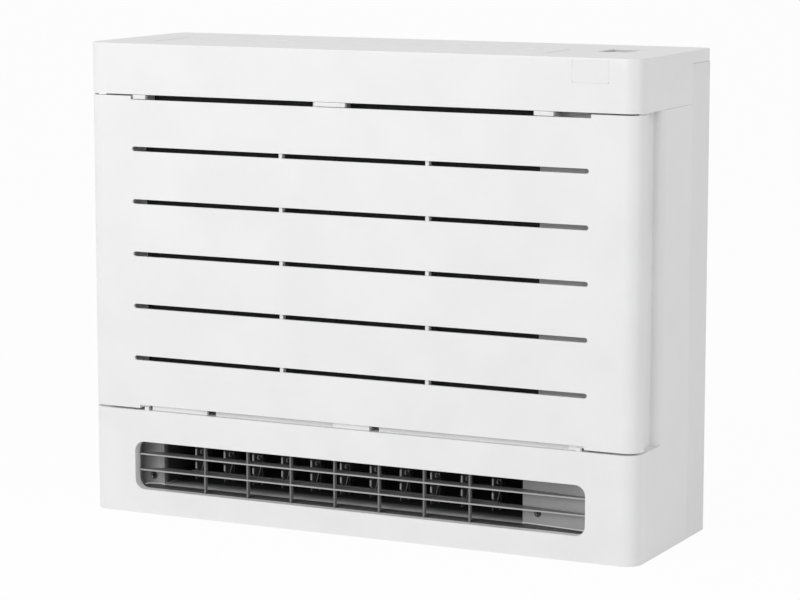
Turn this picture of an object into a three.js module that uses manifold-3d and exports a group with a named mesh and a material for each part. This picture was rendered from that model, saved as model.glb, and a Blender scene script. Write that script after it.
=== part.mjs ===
// Floor standing air conditioner: a console cabinet with a slotted, hinged front panel, an upper outlet
// under a top flap and a lower outlet behind a grille. Millimetres, +Z up, front face towards -Y,
// origin on the floor under the middle of the cabinet.
import * as THREE from "three";
import { mergeVertices } from "three/addons/utils/BufferGeometryUtils.js";
import Module from "manifold-3d";

const wasm = await Module();
wasm.setup();

// ---------------------------------------------------------------- driving dimensions

// cabinet
const width = 750;
const depth = 238;
const height = 600;
const wall = 2.5; // moulded walls
const seat = 0.3; // gap between pieces that rest on each other
const frontCornerRadius = 20;
const rearCornerRadius = 13;
const topEdgeBevel = 1;

const halfWidth = width / 2;
const frontFace = -depth / 2;
const backFace = depth / 2;

// split lines of the cabinet
const lowerFrontTop = 133.5;
const coverBottom = height - 64;
const rearSeam = backFace - 69; // where the front casing meets the rear casing
const coverSkirtBottom = height - 15; // rear part of the top cover
const coverRearInset = 2;

// front panel
const panelBottom = lowerFrontTop + 2.7;
const panelTop = coverBottom - 2;
const panelDepth = 22;
const panelSkin = 3.5;
const panelLip = 8;
const topNotch = { left: -halfWidth + 63, right: halfWidth - 62, edge: panelTop - 4.5 };
const bottomNotch = { left: -halfWidth + 71, right: halfWidth - 67, edge: panelBottom + 4.3 };
const slotCount = 5;
const topSlotHeight = panelTop - 66.6;
const bottomSlotHeight = panelBottom + 64.8;
const slotPitch = (topSlotHeight - bottomSlotHeight) / (slotCount - 1);
const slotHalfLength = halfWidth - 64;
const slotHeight = 6;
const panelRibOffset = 100;
const panelRibWidth = 4.5;
const panelRibDepth = 7;
const panelPivot = { fromFront: 4.5, aboveEdge: 3, pin: 1.5, bore: 2 };
const pivotY = frontFace + panelPivot.fromFront;
const pivotZ = panelBottom + panelPivot.aboveEdge;

// neck of the casing behind the panel, which leaves the finger groove
const neckInset = 12;
const neckHalf = halfWidth - neckInset;
const neckY = frontFace + 25;
const shoulderY = frontFace + 71;

// fan chamber, with the electrics to its right
const chamber = {
  left: -halfWidth + 57,
  right: halfWidth - 129.5,
  floor: lowerFrontTop + 6.5,
  top: coverBottom - 5,
  front: neckY + 50,
};

// fan, its motor held from the back
const fanX = (chamber.left + chamber.right) / 2 + 1.25;
const fanZ = (chamber.floor + chamber.top - 1) / 2;
const wheelRadius = 150;
const motorRadius = 52;
const motorLength = 48;
const motorBack = backFace - 27;
const motorFront = motorBack - motorLength;
const wheelBack = motorFront - 7.5;
const hubPlate = 2.5;
const bladeCount = 7;
const bladeInnerRadius = 98;
const bladeThickness = 4;
const wheelSides = 30;
const bladeSweep = 48; // degrees from leading to trailing edge
const throatRadius = 125;
const throatBack = chamber.front + 14;
const shaftRadius = 4;

// intake
const intake = {
  left: chamber.left + 13,
  right: chamber.right - 7.5,
  bottom: lowerFrontTop + 16.5,
  top: coverBottom - 2.5,
};
const intakeMiddle = fanX;
const filterThickness = 3;
const filterRim = 7;
const latchTravel = 10;
const latchWidth = 26;
const latchShelf = intake.top - 6.9;
const tabFront = frontFace + panelSkin + 2.5; // tab that shows in the gap over the panel

// heat exchanger
const coil = {
  left: chamber.left + 22,
  right: chamber.right - 21.5,
  bottom: chamber.floor + 28,
  top: coverBottom - 10,
  front: neckY + 14,
  back: neckY + 46,
};
const finCount = 22;
const finThickness = 1.4;
const tubeRadius = 4;
const bendLevels = 5;
const plateThickness = 1.5;

// upper outlet
const flapSpan = { left: -halfWidth + 70, right: halfWidth - 145 };
const flapFront = frontFace + 53;
const flapPivot = { y: frontFace + 127, z: height - 8 };
const flapBarrel = height - flapPivot.z;
const flapSkin = 3.5;
const flapGap = 1; // running gap in front of the flap and behind it
const flapEndGap = 2.5;
const upperBladeCount = 6;
const upperBladePitch = (flapSpan.right - flapSpan.left - 95) / (upperBladeCount - 1);
const upperBlade = { bottom: height - 48, top: height - 20, pivot: height - 32, thickness: 1.8 };

// lower outlet
const outlet = { left: -halfWidth + 63, right: halfWidth - 65, bottom: 31, top: 93, radius: 13, rim: 12 };
const ringDepth = 4; // of the grille's ring behind the outlet's rim
const duct = {
  left: outlet.left + 27,
  right: outlet.right - 92.5,
  bottom: outlet.bottom + 2,
  top: outlet.top - 2.5,
  mouth: frontFace + 27, // where the surround narrows to the duct
  front: frontFace + 60, // mounting flange
  back: backFace - 12,
};
const ductThroatFront = duct.back - 77;
const grilleBarHeights = [outlet.top - 18, outlet.bottom + 23.6];
const grilleRibCount = 7;
const grilleRibStart = outlet.left + 97;
const grilleRibPitch = (duct.right - 62.9 - grilleRibStart) / (grilleRibCount - 1);
const lowerBladeCount = 11;
const lowerBladeStart = duct.left + 27;
const lowerBladePitch = (duct.right - 55.5 - lowerBladeStart) / (lowerBladeCount - 1);
const lowerBladePivotY = duct.front + 25;
const lowerBlade = {
  bottom: duct.bottom + 3,
  top: duct.top - 3,
  thickness: 1.8,
  front: -24,
  back: 18,
};
const damperPivot = { y: duct.back - 7, z: chamber.floor - 6 };
const damperLength = damperPivot.y - ductThroatFront - 2;

// louver linkage, the same above and below
const tiePinRadius = 1.5;
const tieBoreRadius = 1.9;
const pivotPinRadius = 2;
const pivotBoreRadius = 2.4;
const tieBarWidth = 6.4;
const tieBarThickness = 2.4;

// display and button
const display = { left: halfWidth - 87, right: halfWidth - 40, bottom: height - 30, top: height - 3 };
const button = { left: halfWidth - 98, right: halfWidth - 59, front: backFace - 135, back: backFace - 82 };

// electrics
const box = {
  left: chamber.right + 26.5,
  right: neckHalf - 7,
  bottom: chamber.floor + 35,
  top: coverBottom - 31,
  front: coil.front,
  back: rearSeam - 10,
  wall: 1.5,
};

// recess at the back for the wall bracket
const bracketRecess = { half: halfWidth - 120, bottom: height - 145, top: height - 75, depth: 3.4 };
const bracketClearance = 2;

// opening in the floor for the pipes
const pipeWay = { left: halfWidth - 89, right: halfWidth - 19, front: backFace - 85, back: backFace - 19 };

// stepping motors that turn the flap, the louvers and the damper
const stepperRadius = 12;
const stepperLength = 15;
const stepperOffset = 8; // from the motor's middle to its shaft

// ---------------------------------------------------------------- materials

const finish = (color, roughness, metalness = 0) =>
  new THREE.MeshStandardMaterial({ color, roughness, metalness });
const white = finish(0xf0f0f0, 0.45);
const offWhite = finish(0xe4e5e5, 0.5);
const windowGrey = finish(0xeaeaea, 0.3);
const grilleGrey = finish(0x8e8f90, 0.5);
const ductGrey = finish(0x7c7d7e, 0.55);
const bladeGrey = finish(0x3d3e3f, 0.5);
const black = finish(0x141414, 0.6);
const foam = finish(0xb9c4c6, 0.8);
const aluminium = finish(0xc4c7ca, 0.35, 0.9);
const copper = finish(0xb87345, 0.35, 0.9);
const brass = finish(0xc9a24a, 0.3, 0.9);
const steel = finish(0xa9acaf, 0.4, 0.8);
const board = finish(0x2f6b45, 0.5);

// ---------------------------------------------------------------- solids

// A closed three.js geometry as a solid, turned face out if its profile ran the other way.
function solid(geometry) {
  const bare = geometry.clone();
  bare.deleteAttribute("normal");
  bare.deleteAttribute("uv");
  const merged = mergeVertices(bare, 1e-4);
  const triVerts = new Uint32Array(merged.index.array);
  const vertProperties = merged.attributes.position.array;
  const made = new wasm.Manifold(new wasm.Mesh({ numProp: 3, vertProperties, triVerts }));
  if (made.volume() > 0) return made;
  for (let i = 0; i < triVerts.length; i += 3) {
    [triVerts[i + 1], triVerts[i + 2]] = [triVerts[i + 2], triVerts[i + 1]];
  }
  return new wasm.Manifold(new wasm.Mesh({ numProp: 3, vertProperties, triVerts }));
}

// A solid as a flat-shaded three.js geometry.
function geometryOf(made) {
  const mesh = made.asOriginal().simplify(1e-3).getMesh();
  const geometry = new THREE.BufferGeometry();
  geometry.setAttribute("position", new THREE.BufferAttribute(mesh.vertProperties, mesh.numProp));
  geometry.setIndex(new THREE.BufferAttribute(mesh.triVerts, 1));
  const flat = geometry.toNonIndexed();
  flat.computeVertexNormals();
  return flat;
}

const join = (...solids) => solids.flat().reduce((a, b) => a.add(b));
const cut = (body, ...tools) => tools.flat().reduce((a, b) => a.subtract(b), body);

const alongX = new THREE.Matrix4().makeBasis(
  new THREE.Vector3(0, 1, 0),
  new THREE.Vector3(0, 0, 1),
  new THREE.Vector3(1, 0, 0),
);
const alongY = new THREE.Matrix4().makeRotationX(Math.PI / 2);

// Outlines pulled straight: plan outlines up Z, (y, z) outlines along X, (x, z) outlines along Y.
function extrudeZ(shape, z0, z1, curveSegments = 3) {
  const options = { depth: z1 - z0, bevelEnabled: false, curveSegments };
  return solid(new THREE.ExtrudeGeometry(shape, options).translate(0, 0, z0));
}
function extrudeX(shape, x0, x1, curveSegments = 3) {
  const options = { depth: x1 - x0, bevelEnabled: false, curveSegments };
  return solid(new THREE.ExtrudeGeometry(shape, options).applyMatrix4(alongX).translate(x0, 0, 0));
}
function extrudeY(shape, y0, y1, curveSegments = 3) {
  const options = { depth: y1 - y0, bevelEnabled: false, curveSegments };
  return solid(new THREE.ExtrudeGeometry(shape, options).applyMatrix4(alongY).translate(0, y1, 0));
}

function block(x0, x1, y0, y1, z0, z1) {
  const geometry = new THREE.BoxGeometry(x1 - x0, y1 - y0, z1 - z0);
  return solid(geometry.translate((x0 + x1) / 2, (y0 + y1) / 2, (z0 + z1) / 2));
}

// A round bar from a to b along one axis, through the point (u, v) of the other two.
function bar(axis, radius, a, b, u, v, sides = 10) {
  const geometry = new THREE.CylinderGeometry(radius, radius, b - a, sides);
  const middle = (a + b) / 2;
  if (axis === "x") return solid(geometry.rotateZ(Math.PI / 2).translate(middle, u, v));
  if (axis === "y") return solid(geometry.translate(u, middle, v));
  return solid(geometry.rotateX(Math.PI / 2).translate(u, v, middle));
}

function turned(profile, sides) {
  const points = profile.map(([r, y]) => new THREE.Vector2(r, y));
  return solid(new THREE.LatheGeometry([...points, points[0]], sides));
}

function outline(points) {
  return new THREE.Shape(points.map(([u, v]) => new THREE.Vector2(u, v)));
}

// A rectangle with its own radius at each corner: low left, low right, high right, high left.
function rounded(u0, u1, v0, v1, radii) {
  const [a, b, c, d] = Array.isArray(radii) ? radii : [radii, radii, radii, radii];
  const shape = new THREE.Shape();
  shape.moveTo(u0 + a, v0);
  shape.lineTo(u1 - b, v0);
  if (b) shape.absarc(u1 - b, v0 + b, b, -Math.PI / 2, 0);
  shape.lineTo(u1, v1 - c);
  if (c) shape.absarc(u1 - c, v1 - c, c, 0, Math.PI / 2);
  shape.lineTo(u0 + d, v1);
  if (d) shape.absarc(u0 + d, v1 - d, d, Math.PI / 2, Math.PI);
  shape.lineTo(u0, v0 + a);
  if (a) shape.absarc(u0 + a, v0 + a, a, Math.PI, 1.5 * Math.PI);
  return shape;
}

// A round tube that runs smoothly through the points.
function tube(points, radius, steps, sides = 8) {
  const path = new THREE.CatmullRomCurve3(points.map((p) => new THREE.Vector3(...p)));
  const section = new THREE.Shape();
  for (let i = 0; i < sides; i++) {
    const angle = (2 * Math.PI * i) / sides;
    const [u, v] = [radius * Math.cos(angle), radius * Math.sin(angle)];
    if (i === 0) section.moveTo(u, v);
    else section.lineTo(u, v);
  }
  return solid(new THREE.ExtrudeGeometry(section, { steps, extrudePath: path }));
}

// A thin curved blade. Each level is a row of point pairs, one on each side of the blade.
function bladeBetween(levels) {
  const pairs = levels[0].length;
  const position = levels.flat(2).flatMap((p) => [p.x, p.y, p.z]);
  const at = (level, pair, side) => 2 * (level * pairs + pair) + side;
  const index = [];
  const quad = (a, b, c, d) => index.push(a, b, c, a, c, d);
  for (let level = 0; level + 1 < levels.length; level++) {
    for (let pair = 0; pair + 1 < pairs; pair++) {
      quad(at(level, pair, 0), at(level, pair + 1, 0), at(level + 1, pair + 1, 0), at(level + 1, pair, 0));
      quad(at(level, pair + 1, 1), at(level, pair, 1), at(level + 1, pair, 1), at(level + 1, pair + 1, 1));
    }
    const last = pairs - 1;
    quad(at(level, 0, 1), at(level, 0, 0), at(level + 1, 0, 0), at(level + 1, 0, 1));
    quad(at(level, last, 0), at(level, last, 1), at(level + 1, last, 1), at(level + 1, last, 0));
  }
  const top = levels.length - 1;
  for (let pair = 0; pair + 1 < pairs; pair++) {
    quad(at(0, pair + 1, 0), at(0, pair, 0), at(0, pair, 1), at(0, pair + 1, 1));
    quad(at(top, pair, 0), at(top, pair + 1, 0), at(top, pair + 1, 1), at(top, pair, 1));
  }
  const geometry = new THREE.BufferGeometry();
  geometry.setAttribute("position", new THREE.Float32BufferAttribute(position, 3));
  geometry.setIndex(index);
  return solid(geometry);
}

// ---------------------------------------------------------------- scene graph

const airConditioner = new THREE.Group();
airConditioner.name = "air_conditioner";

function subAssembly(parent = airConditioner, x = 0, y = 0, z = 0) {
  const group = new THREE.Group();
  group.position.set(x, y, z);
  parent.add(group);
  return group;
}

function piece(group, name, made, material) {
  const mesh = new THREE.Mesh(geometryOf(made), material);
  mesh.name = name;
  group.add(mesh);
  return mesh;
}

// ---------------------------------------------------------------- cabinet

// Plan outline of the cabinet front from the front face back to y1, drawn in by `inset`.
function frontPlan(inset, y1) {
  const r = frontCornerRadius - inset;
  return rounded(-halfWidth + inset, halfWidth - inset, frontFace + inset, y1, [r, r, 0, 0]);
}

function rearPlan(inset, y0, y1, sideInset = 0) {
  const r = rearCornerRadius - inset;
  const x = halfWidth - inset - sideInset;
  return rounded(-x, x, y0, y1 - inset, [0, 0, r, r]);
}

function topCover() {
  const rearEnd = backFace - coverRearInset;
  const frontEnd = rearSeam - seat;
  const rim = rounded(
    -halfWidth + topEdgeBevel,
    halfWidth - topEdgeBevel,
    frontFace + topEdgeBevel,
    rearEnd - topEdgeBevel,
    [frontCornerRadius, frontCornerRadius, rearCornerRadius, rearCornerRadius].map((r) => r - topEdgeBevel),
  );
  const lidDepth = 24;
  const lid = solid(
    new THREE.ExtrudeGeometry(rim, {
      depth: lidDepth,
      bevelThickness: topEdgeBevel,
      bevelSize: topEdgeBevel,
      bevelSegments: 2,
      curveSegments: 3,
    }).translate(0, 0, height - topEdgeBevel - lidDepth),
  );
  const farBelow = height - 2 * lidDepth;
  const skirt = cut(lid, block(-width, width, frontFace - 1, depth, farBelow, coverSkirtBottom));
  const front = extrudeZ(frontPlan(0, frontEnd), coverBottom, height - 2 * topEdgeBevel);
  const underside = height - wall;
  const hollowFront = extrudeZ(frontPlan(wall, frontEnd + 1), coverBottom - 1, underside);
  const hollowRear = extrudeZ(
    rearPlan(wall, 0, rearEnd),
    coverSkirtBottom - 1,
    underside,
  );
  const flapHole = block(
    flapSpan.left - flapEndGap,
    flapSpan.right + flapEndGap,
    flapFront - flapGap,
    flapPivot.y + flapBarrel + flapGap,
    underside - 1,
    height + 1,
  );
  const buttonHole = extrudeZ(
    rounded(button.left, button.right, button.front, button.back, 4),
    underside - 1,
    height + 1,
    1,
  );
  const windowHole = extrudeY(
    rounded(display.left, display.right, display.bottom, display.top, 2),
    frontFace - 1,
    frontFace + wall + 1,
    1,
  );
  return cut(join(skirt, front), hollowFront, hollowRear, flapHole, buttonHole, windowHole);
}

// One side of the front casing over its lower part: the wall, the rounded shoulder and the neck that
// carries the intake frame behind the front panel. `side` is 1 on the right and -1 on the left.
function casingSide(side) {
  const plan = (inset) => {
    const shape = new THREE.Shape();
    const outer = halfWidth - inset;
    const neck = neckHalf - inset;
    shape.moveTo(neck, neckY);
    shape.lineTo(neck, shoulderY + inset);
    shape.absarc(outer - neckInset, shoulderY + inset + neckInset, neckInset, -Math.PI / 2, 0);
    shape.lineTo(outer, rearSeam);
    return shape;
  };
  const outer = plan(0);
  const inner = plan(wall);
  const points = [...outer.getPoints(4), ...inner.getPoints(4).reverse()];
  const profile = outline(points.map((p) => [side * p.x, p.y]));
  return extrudeZ(profile, lowerFrontTop - wall, coverBottom - seat);
}

function frontCasing() {
  const shell = cut(
    extrudeZ(frontPlan(0, rearSeam), 0, lowerFrontTop),
    extrudeZ(frontPlan(wall, rearSeam + 1), -1, lowerFrontTop - wall),
    block(-neckHalf + wall, neckHalf - wall, shoulderY + neckInset, rearSeam + 1, 0, lowerFrontTop + 1),
  );
  const rim = extrudeY(
    rounded(
      outlet.left - wall,
      outlet.right + wall,
      outlet.bottom - wall,
      outlet.top + wall,
      outlet.radius + wall,
    ),
    frontFace + 1,
    frontFace + outlet.rim,
  );
  const opening = extrudeY(
    rounded(outlet.left, outlet.right, outlet.bottom, outlet.top, outlet.radius),
    frontFace - 1,
    frontFace + outlet.rim + 1,
  );
  // hooks on the ledge that carry the pins of the front panel, open to the front
  const cradles = [bottomNotch.left + 5, bottomNotch.right - 12].map((x) =>
    cut(
      block(x, x + 6, pivotY - 1.1, pivotY + 6, lowerFrontTop - 1, pivotZ + 1),
      bar("x", panelPivot.bore, x - 1, x + 7, pivotY, pivotZ),
    ),
  );
  const middleTab = block(-29, 21, pivotY + 3, pivotY + 15, lowerFrontTop - 1, bottomNotch.edge - 1);
  // low upstands that close the gap under the panel, with breaks between them
  const upstands = [
    [bottomNotch.left + 16, bottomNotch.left + 96],
    [bottomNotch.left + 107, -29.5],
    [33, bottomNotch.right - 18],
  ].map(([x0, x1]) => block(x0, x1, pivotY + 3, pivotY + 5, lowerFrontTop - 1, bottomNotch.edge - 0.8));
  return cut(join(shell, casingSide(1), casingSide(-1), rim, cradles, middleTab, upstands), opening);
}

function rearCasing() {
  const top = coverSkirtBottom - seat;
  const y0 = rearSeam + seat;
  const shell = cut(
    extrudeZ(rearPlan(0, y0, backFace), 0, top),
    extrudeZ(rearPlan(wall, y0 - 1, backFace), -1, top + 1),
  );
  const bottomInset = wall + 0.7;
  const floorPlate = extrudeZ(
    rounded(
      -halfWidth + bottomInset,
      halfWidth - bottomInset,
      frontFace + bottomInset,
      backFace - wall / 2,
      [frontCornerRadius - bottomInset, frontCornerRadius - bottomInset, rearCornerRadius, rearCornerRadius],
    ),
    0,
    wall,
  );
  const inside = backFace - wall / 2;
  const chamberFront = chamber.front + 2 + seat;
  const sideWalls = [
    block(chamber.left, chamber.left + wall, chamberFront, inside, chamber.floor, chamber.top),
    block(chamber.right - wall, chamber.right, chamberFront, inside, chamber.floor, chamber.top),
  ];
  const chamberFloor = cut(
    block(chamber.left, chamber.right, coil.front - 8, inside, chamber.floor, chamber.floor + wall),
    block(duct.left, duct.right, ductThroatFront, duct.back, chamber.floor - 1, chamber.floor + wall + 1),
  );
  // legs under the chamber floor and saddles under the lower duct stand on the bottom plate
  const legs = [chamber.left + 6, chamber.right - 7.5].map((x) =>
    block(x, x + 4, shoulderY + neckInset + seat, inside, wall - 1, chamber.floor + 1),
  );
  const saddles = [duct.left + 67, (duct.left + duct.right) / 2 - 2, duct.right - 71].map((x) =>
    block(x, x + 4, duct.front + 13, duct.back - 61, wall - 1, duct.bottom - wall - seat),
  );
  const motorPosts = [45, 135, 225, 315].map((angle) => {
    const a = THREE.MathUtils.degToRad(angle);
    const reach = motorRadius + 8;
    return bar("y", 6, motorBack + 3, inside, fanX + reach * Math.cos(a), fanZ + reach * Math.sin(a), 10);
  });
  const boxMiddle = (box.left + box.right) / 2;
  const boxPosts = [box.bottom + 45, box.top - 55].map((z) =>
    block(boxMiddle - 10, boxMiddle + 10, box.back + seat, inside, z, z + 12),
  );
  const recess = bracketRecess;
  const bulge = block(
    -recess.half - wall,
    recess.half + wall,
    backFace - recess.depth - wall,
    inside,
    recess.bottom - wall,
    recess.top + wall,
  );
  const recessSpace = block(
    -recess.half,
    recess.half,
    backFace - recess.depth,
    backFace + 1,
    recess.bottom,
    recess.top,
  );
  const pipeHole = block(pipeWay.left, pipeWay.right, pipeWay.front, pipeWay.back, -1, wall + 1);
  return cut(
    join(shell, floorPlate, sideWalls, chamberFloor, legs, saddles, motorPosts, boxPosts, bulge),
    recessSpace,
    pipeHole,
  );
}

function wallBracket() {
  const y1 = backFace - 0.4;
  const y0 = y1 - 2.4;
  const half = bracketRecess.half - bracketClearance;
  const z0 = bracketRecess.bottom + bracketClearance;
  const z1 = bracketRecess.top - bracketClearance;
  const plate = extrudeY(rounded(-half, half, z0, z1, 6), y0, y1, 1);
  const holes = [-half + 43, 0, half - 43].flatMap((x) => [
    bar("y", 4, y0 - 1, y1 + 1, x, z1 - 11, 8),
    extrudeY(rounded(x - 22, x + 22, z0 + 15, z0 + 23, 3.9), y0 - 1, y1 + 1, 1),
  ]);
  return cut(plate, holes);
}

// ---------------------------------------------------------------- front panel, in its pivot's frame

function frontPanel() {
  const rear = frontFace + panelDepth;
  const shell = cut(
    extrudeZ(frontPlan(0, rear), panelBottom, panelTop),
    cut(
      extrudeZ(
        rounded(-halfWidth + wall, halfWidth - wall, frontFace + panelSkin, rear + 1, [
          frontCornerRadius - panelSkin,
          frontCornerRadius - panelSkin,
          0,
          0,
        ]),
        panelBottom - 1,
        panelTop + 1,
      ),
      block(-width, width, frontFace, frontFace + panelLip, panelTop - wall, height),
      block(-width, width, frontFace, frontFace + panelLip, 0, panelBottom + wall),
    ),
  );
  const notches = [
    block(topNotch.left, topNotch.right, frontFace - 1, rear + 1, topNotch.edge, height),
    block(bottomNotch.left, bottomNotch.right, frontFace - 1, rear + 1, 0, bottomNotch.edge),
  ];
  const slots = Array.from({ length: slotCount }, (_, i) => {
    const z = topSlotHeight - i * slotPitch;
    const r = slotHeight / 2;
    const shape = rounded(-slotHalfLength, slotHalfLength, z - r, z + r, r * 0.98);
    return extrudeY(shape, frontFace - 1, frontFace + panelSkin + 1, 1);
  });
  const back = frontFace + panelSkin;
  const ribTop = topSlotHeight + 30;
  const ribBottom = topSlotHeight - (slotCount - 1) * slotPitch - 30;
  const ribs = [-panelRibOffset, panelRibOffset].map((x) =>
    block(x - panelRibWidth / 2, x + panelRibWidth / 2, back - 0.5, back + panelRibDepth, ribBottom, ribTop),
  );
  const ears = [
    {
      plate: [bottomNotch.left - 0.5, bottomNotch.left + 2.5],
      pin: [bottomNotch.left + 2, bottomNotch.left + 12],
    },
    {
      plate: [bottomNotch.right - 3.5, bottomNotch.right - 0.5],
      pin: [bottomNotch.right - 14, bottomNotch.right - 3],
    },
  ].map(({ plate, pin }) =>
    join(
      block(...plate, back - 0.5, back + 7, bottomNotch.edge + 0.2, bottomNotch.edge + 12),
      block(...plate, pivotY - panelPivot.pin, back + 7, pivotZ - panelPivot.pin, bottomNotch.edge + 1),
      bar("x", panelPivot.pin, pin[0], pin[1], pivotY, pivotZ, 8),
    ),
  );
  const plain = join(cut(shell, notches, slots), ribs, ears);
  return plain.translate([0, -pivotY, -pivotZ]);
}

// ---------------------------------------------------------------- intake

function intakeFrame() {
  const x = neckHalf - wall - seat;
  const y1 = neckY + wall;
  const stopBack = y1 + 5.5;
  const plate = cut(
    block(-x, x, neckY, y1, lowerFrontTop + seat, coverBottom - seat),
    block(intake.left, intake.right, neckY - 1, y1 + 1, intake.bottom, intake.top),
  );
  // grid behind the filters, which stops them going back into the coil
  const stop = cut(
    block(intake.left - 3, intake.right + 3, y1 - 1, stopBack, intake.bottom - 3, intake.top + 1.5),
    block(intake.left, intake.right, y1 - 2, stopBack + 1, intake.bottom, intake.top),
  );
  const gridFront = neckY + filterThickness + 2 * seat;
  const across = [0.25, 0.5, 0.75].map((share) => {
    const z = THREE.MathUtils.lerp(intake.bottom, intake.top, share);
    return block(intake.left - 1, intake.right + 1, gridFront, gridFront + 4, z - 1.2, z + 1.2);
  });
  const upright = [1 / 6, 1 / 3, 1 / 2, 2 / 3, 5 / 6].map((share) => {
    const x = THREE.MathUtils.lerp(intake.left, intake.right, share);
    return block(x - 1.2, x + 1.2, gridFront, gridFront + 4.6, intake.bottom - 1, intake.top + 1);
  });
  // shelves on which the panel latches slide, each with the slot that guides its latch
  const shelves = [latchPlace(-1), latchPlace(1)].map(({ centre, inward }) => {
    const outer = centre - inward * (latchWidth / 2 + 8);
    const inner = centre + inward * (latchWidth / 2 + latchTravel + 1);
    const [x0, x1] = [Math.min(outer, inner), Math.max(outer, inner)];
    const slotEnds = [centre - inward * 4.4, centre + inward * (latchTravel + 4.4)].sort((a, b) => a - b);
    return cut(
      block(x0, x1, frontFace + 8, neckY, latchShelf - 2.6, latchShelf),
      block(...slotEnds, latchY - 2.4, latchY + 2.4, latchShelf - 4, height),
    );
  });
  const hook = join(
    block(fanX - 21, fanX + 21, tabFront, neckY, latchShelf + 0.9, coverBottom - seat),
    block(fanX - 21, fanX + 21, neckY - 1, y1, intake.top, coverBottom - seat),
  );
  const fastened = shelves.map((shelf, i) => {
    const place = latchPlace(i ? 1 : -1);
    const edge = i ? intake.right : intake.left;
    const outward = i ? 1 : -1;
    const root = [edge + outward * 1, place.centre + outward * (latchWidth / 2 + 8)];
    const [x0, x1] = [Math.min(...root), Math.max(...root)];
    return join(shelf, block(x0, x1, neckY - 1, neckY + 1, latchShelf - 8.6, latchShelf));
  });
  return join(plate, stop, across, upright, fastened, hook);
}

// Where a panel latch sits when it is locked, and the way it slides to free the panel.
function latchPlace(side) {
  const centre = side < 0 ? intake.left + 1 : intake.right + 15;
  return { centre, inward: -side };
}

// Latch about its slot in the shelf. Its grip stands forward inside the panel's notch.
const latchY = frontFace + 17;
function panelLatch(side) {
  const half = latchWidth / 2;
  const body = extrudeY(rounded(-half, half, 0, 8, [0, 0, 2, 2]), -6, 7, 1);
  const gripEnds = [side * 6, -side * half];
  const [x0, x1] = [Math.min(...gripEnds), Math.max(...gripEnds)];
  const grip = block(x0, x1, -7.5, -5, 0.4, 7.8);
  const tongue = join(block(-4, 4, -2, 2, -3.3, 1), block(-4, 4, -4, 4, -5, -3.3));
  return join(body, grip, tongue);
}

// Air filter between x0 and x1: rim, cross bars and the net they carry.
function airFilter(x0, x1) {
  const y0 = neckY + seat;
  const z0 = intake.bottom + seat;
  const z1 = intake.top - 1;
  const rim = cut(
    extrudeY(rounded(x0, x1, z0, z1, 4), y0, y0 + filterThickness, 1),
    block(x0 + filterRim, x1 - filterRim, y0 - 1, y0 + filterThickness + 1, z0 + filterRim, z1 - filterRim),
  );
  const net = block(x0 + 3, x1 - 3, y0 + 1.2, y0 + 1.8, z0 + 3, z1 - 3);
  const middle = (x0 + x1) / 2;
  const column = block(middle - 1.2, middle + 1.2, y0 + 0.4, y0 + filterThickness - 0.4, z0 + 2, z1 - 2);
  const rows = [1, 2, 3].map((i) => {
    const z = THREE.MathUtils.lerp(z0, z1, i / 4);
    return block(x0 + 2, x1 - 2, y0 + 0.5, y0 + filterThickness - 0.5, z - 1.2, z + 1.2);
  });
  return join(rim, net, column, rows);
}

function deodorisingCartridge() {
  const y0 = neckY + filterThickness + 5.5;
  const [x0, x1] = [intake.left + 105, intake.left + 165];
  const [z0, z1] = [intake.bottom + 150, intake.bottom + 240];
  const frame = cut(
    block(x0, x1, y0, y0 + 4, z0, z1),
    block(x0 + 4, x1 - 4, y0 - 1, y0 + 5, z0 + 4, z1 - 4),
  );
  const pleats = Array.from({ length: 5 }, (_, i) => {
    const z = THREE.MathUtils.lerp(z0 + 4, z1 - 4, (i + 0.5) / 5);
    return block(x0 + 3, x1 - 3, y0 + 0.5, y0 + 3.5, z - 4, z + 4);
  });
  return join(frame, block(x0 + 3, x1 - 3, y0 + 1.6, y0 + 2.4, z0 + 3, z1 - 3), pleats);
}

// ---------------------------------------------------------------- heat exchanger

function finPack() {
  const { left, right, front, back } = coil;
  const web = [front + 13, back - 13];
  const pitch = (right - left - finThickness) / (finCount - 1);
  const frontSide = [];
  const backSide = [];
  for (let i = 0; i < finCount; i++) {
    const x0 = left + i * pitch;
    const x1 = x0 + finThickness;
    frontSide.push([x0, web[0]], [x0, front], [x1, front], [x1, web[0]]);
    backSide.push([x0, web[1]], [x0, back], [x1, back], [x1, web[1]]);
  }
  return extrudeZ(outline([...frontSide, ...backSide.reverse()]), coil.bottom, coil.top);
}

// End plate of the coil, `side` -1 on the left or 1 on the right, with the tube bends that pass through it.
function endPlate(side) {
  const inner = side < 0 ? coil.left - seat : coil.right + seat;
  const outer = inner + side * plateThickness;
  const [x0, x1] = [Math.min(inner, outer), Math.max(inner, outer)];
  const back = chamber.front - seat;
  const plate = block(x0, x1, coil.front, back, coil.bottom, coil.top);
  const flangeEnds = [inner, inner + side * 12].sort((a, b) => a - b);
  const flange = block(...flangeEnds, back - 1.5, back, coil.bottom, coil.top);
  const pitch = (coil.top - coil.bottom) / bendLevels;
  const bends = Array.from({ length: bendLevels }, (_, i) => {
    const z = coil.bottom + pitch * (i + 0.5);
    const y = i % 2 ? coil.front + 9 : coil.back - 10;
    const half = 11;
    const root = inner + side * plateThickness * 0.5;
    return tube(
      [
        [root, y, z - half],
        [root + side * 6, y, z - half],
        [root + side * 14, y, z - half * 0.6],
        [root + side * 14, y, z + half * 0.6],
        [root + side * 6, y, z + half],
        [root, y, z + half],
      ],
      tubeRadius,
      5,
      5,
    );
  });
  return join(plate, flange, bends);
}

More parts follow.
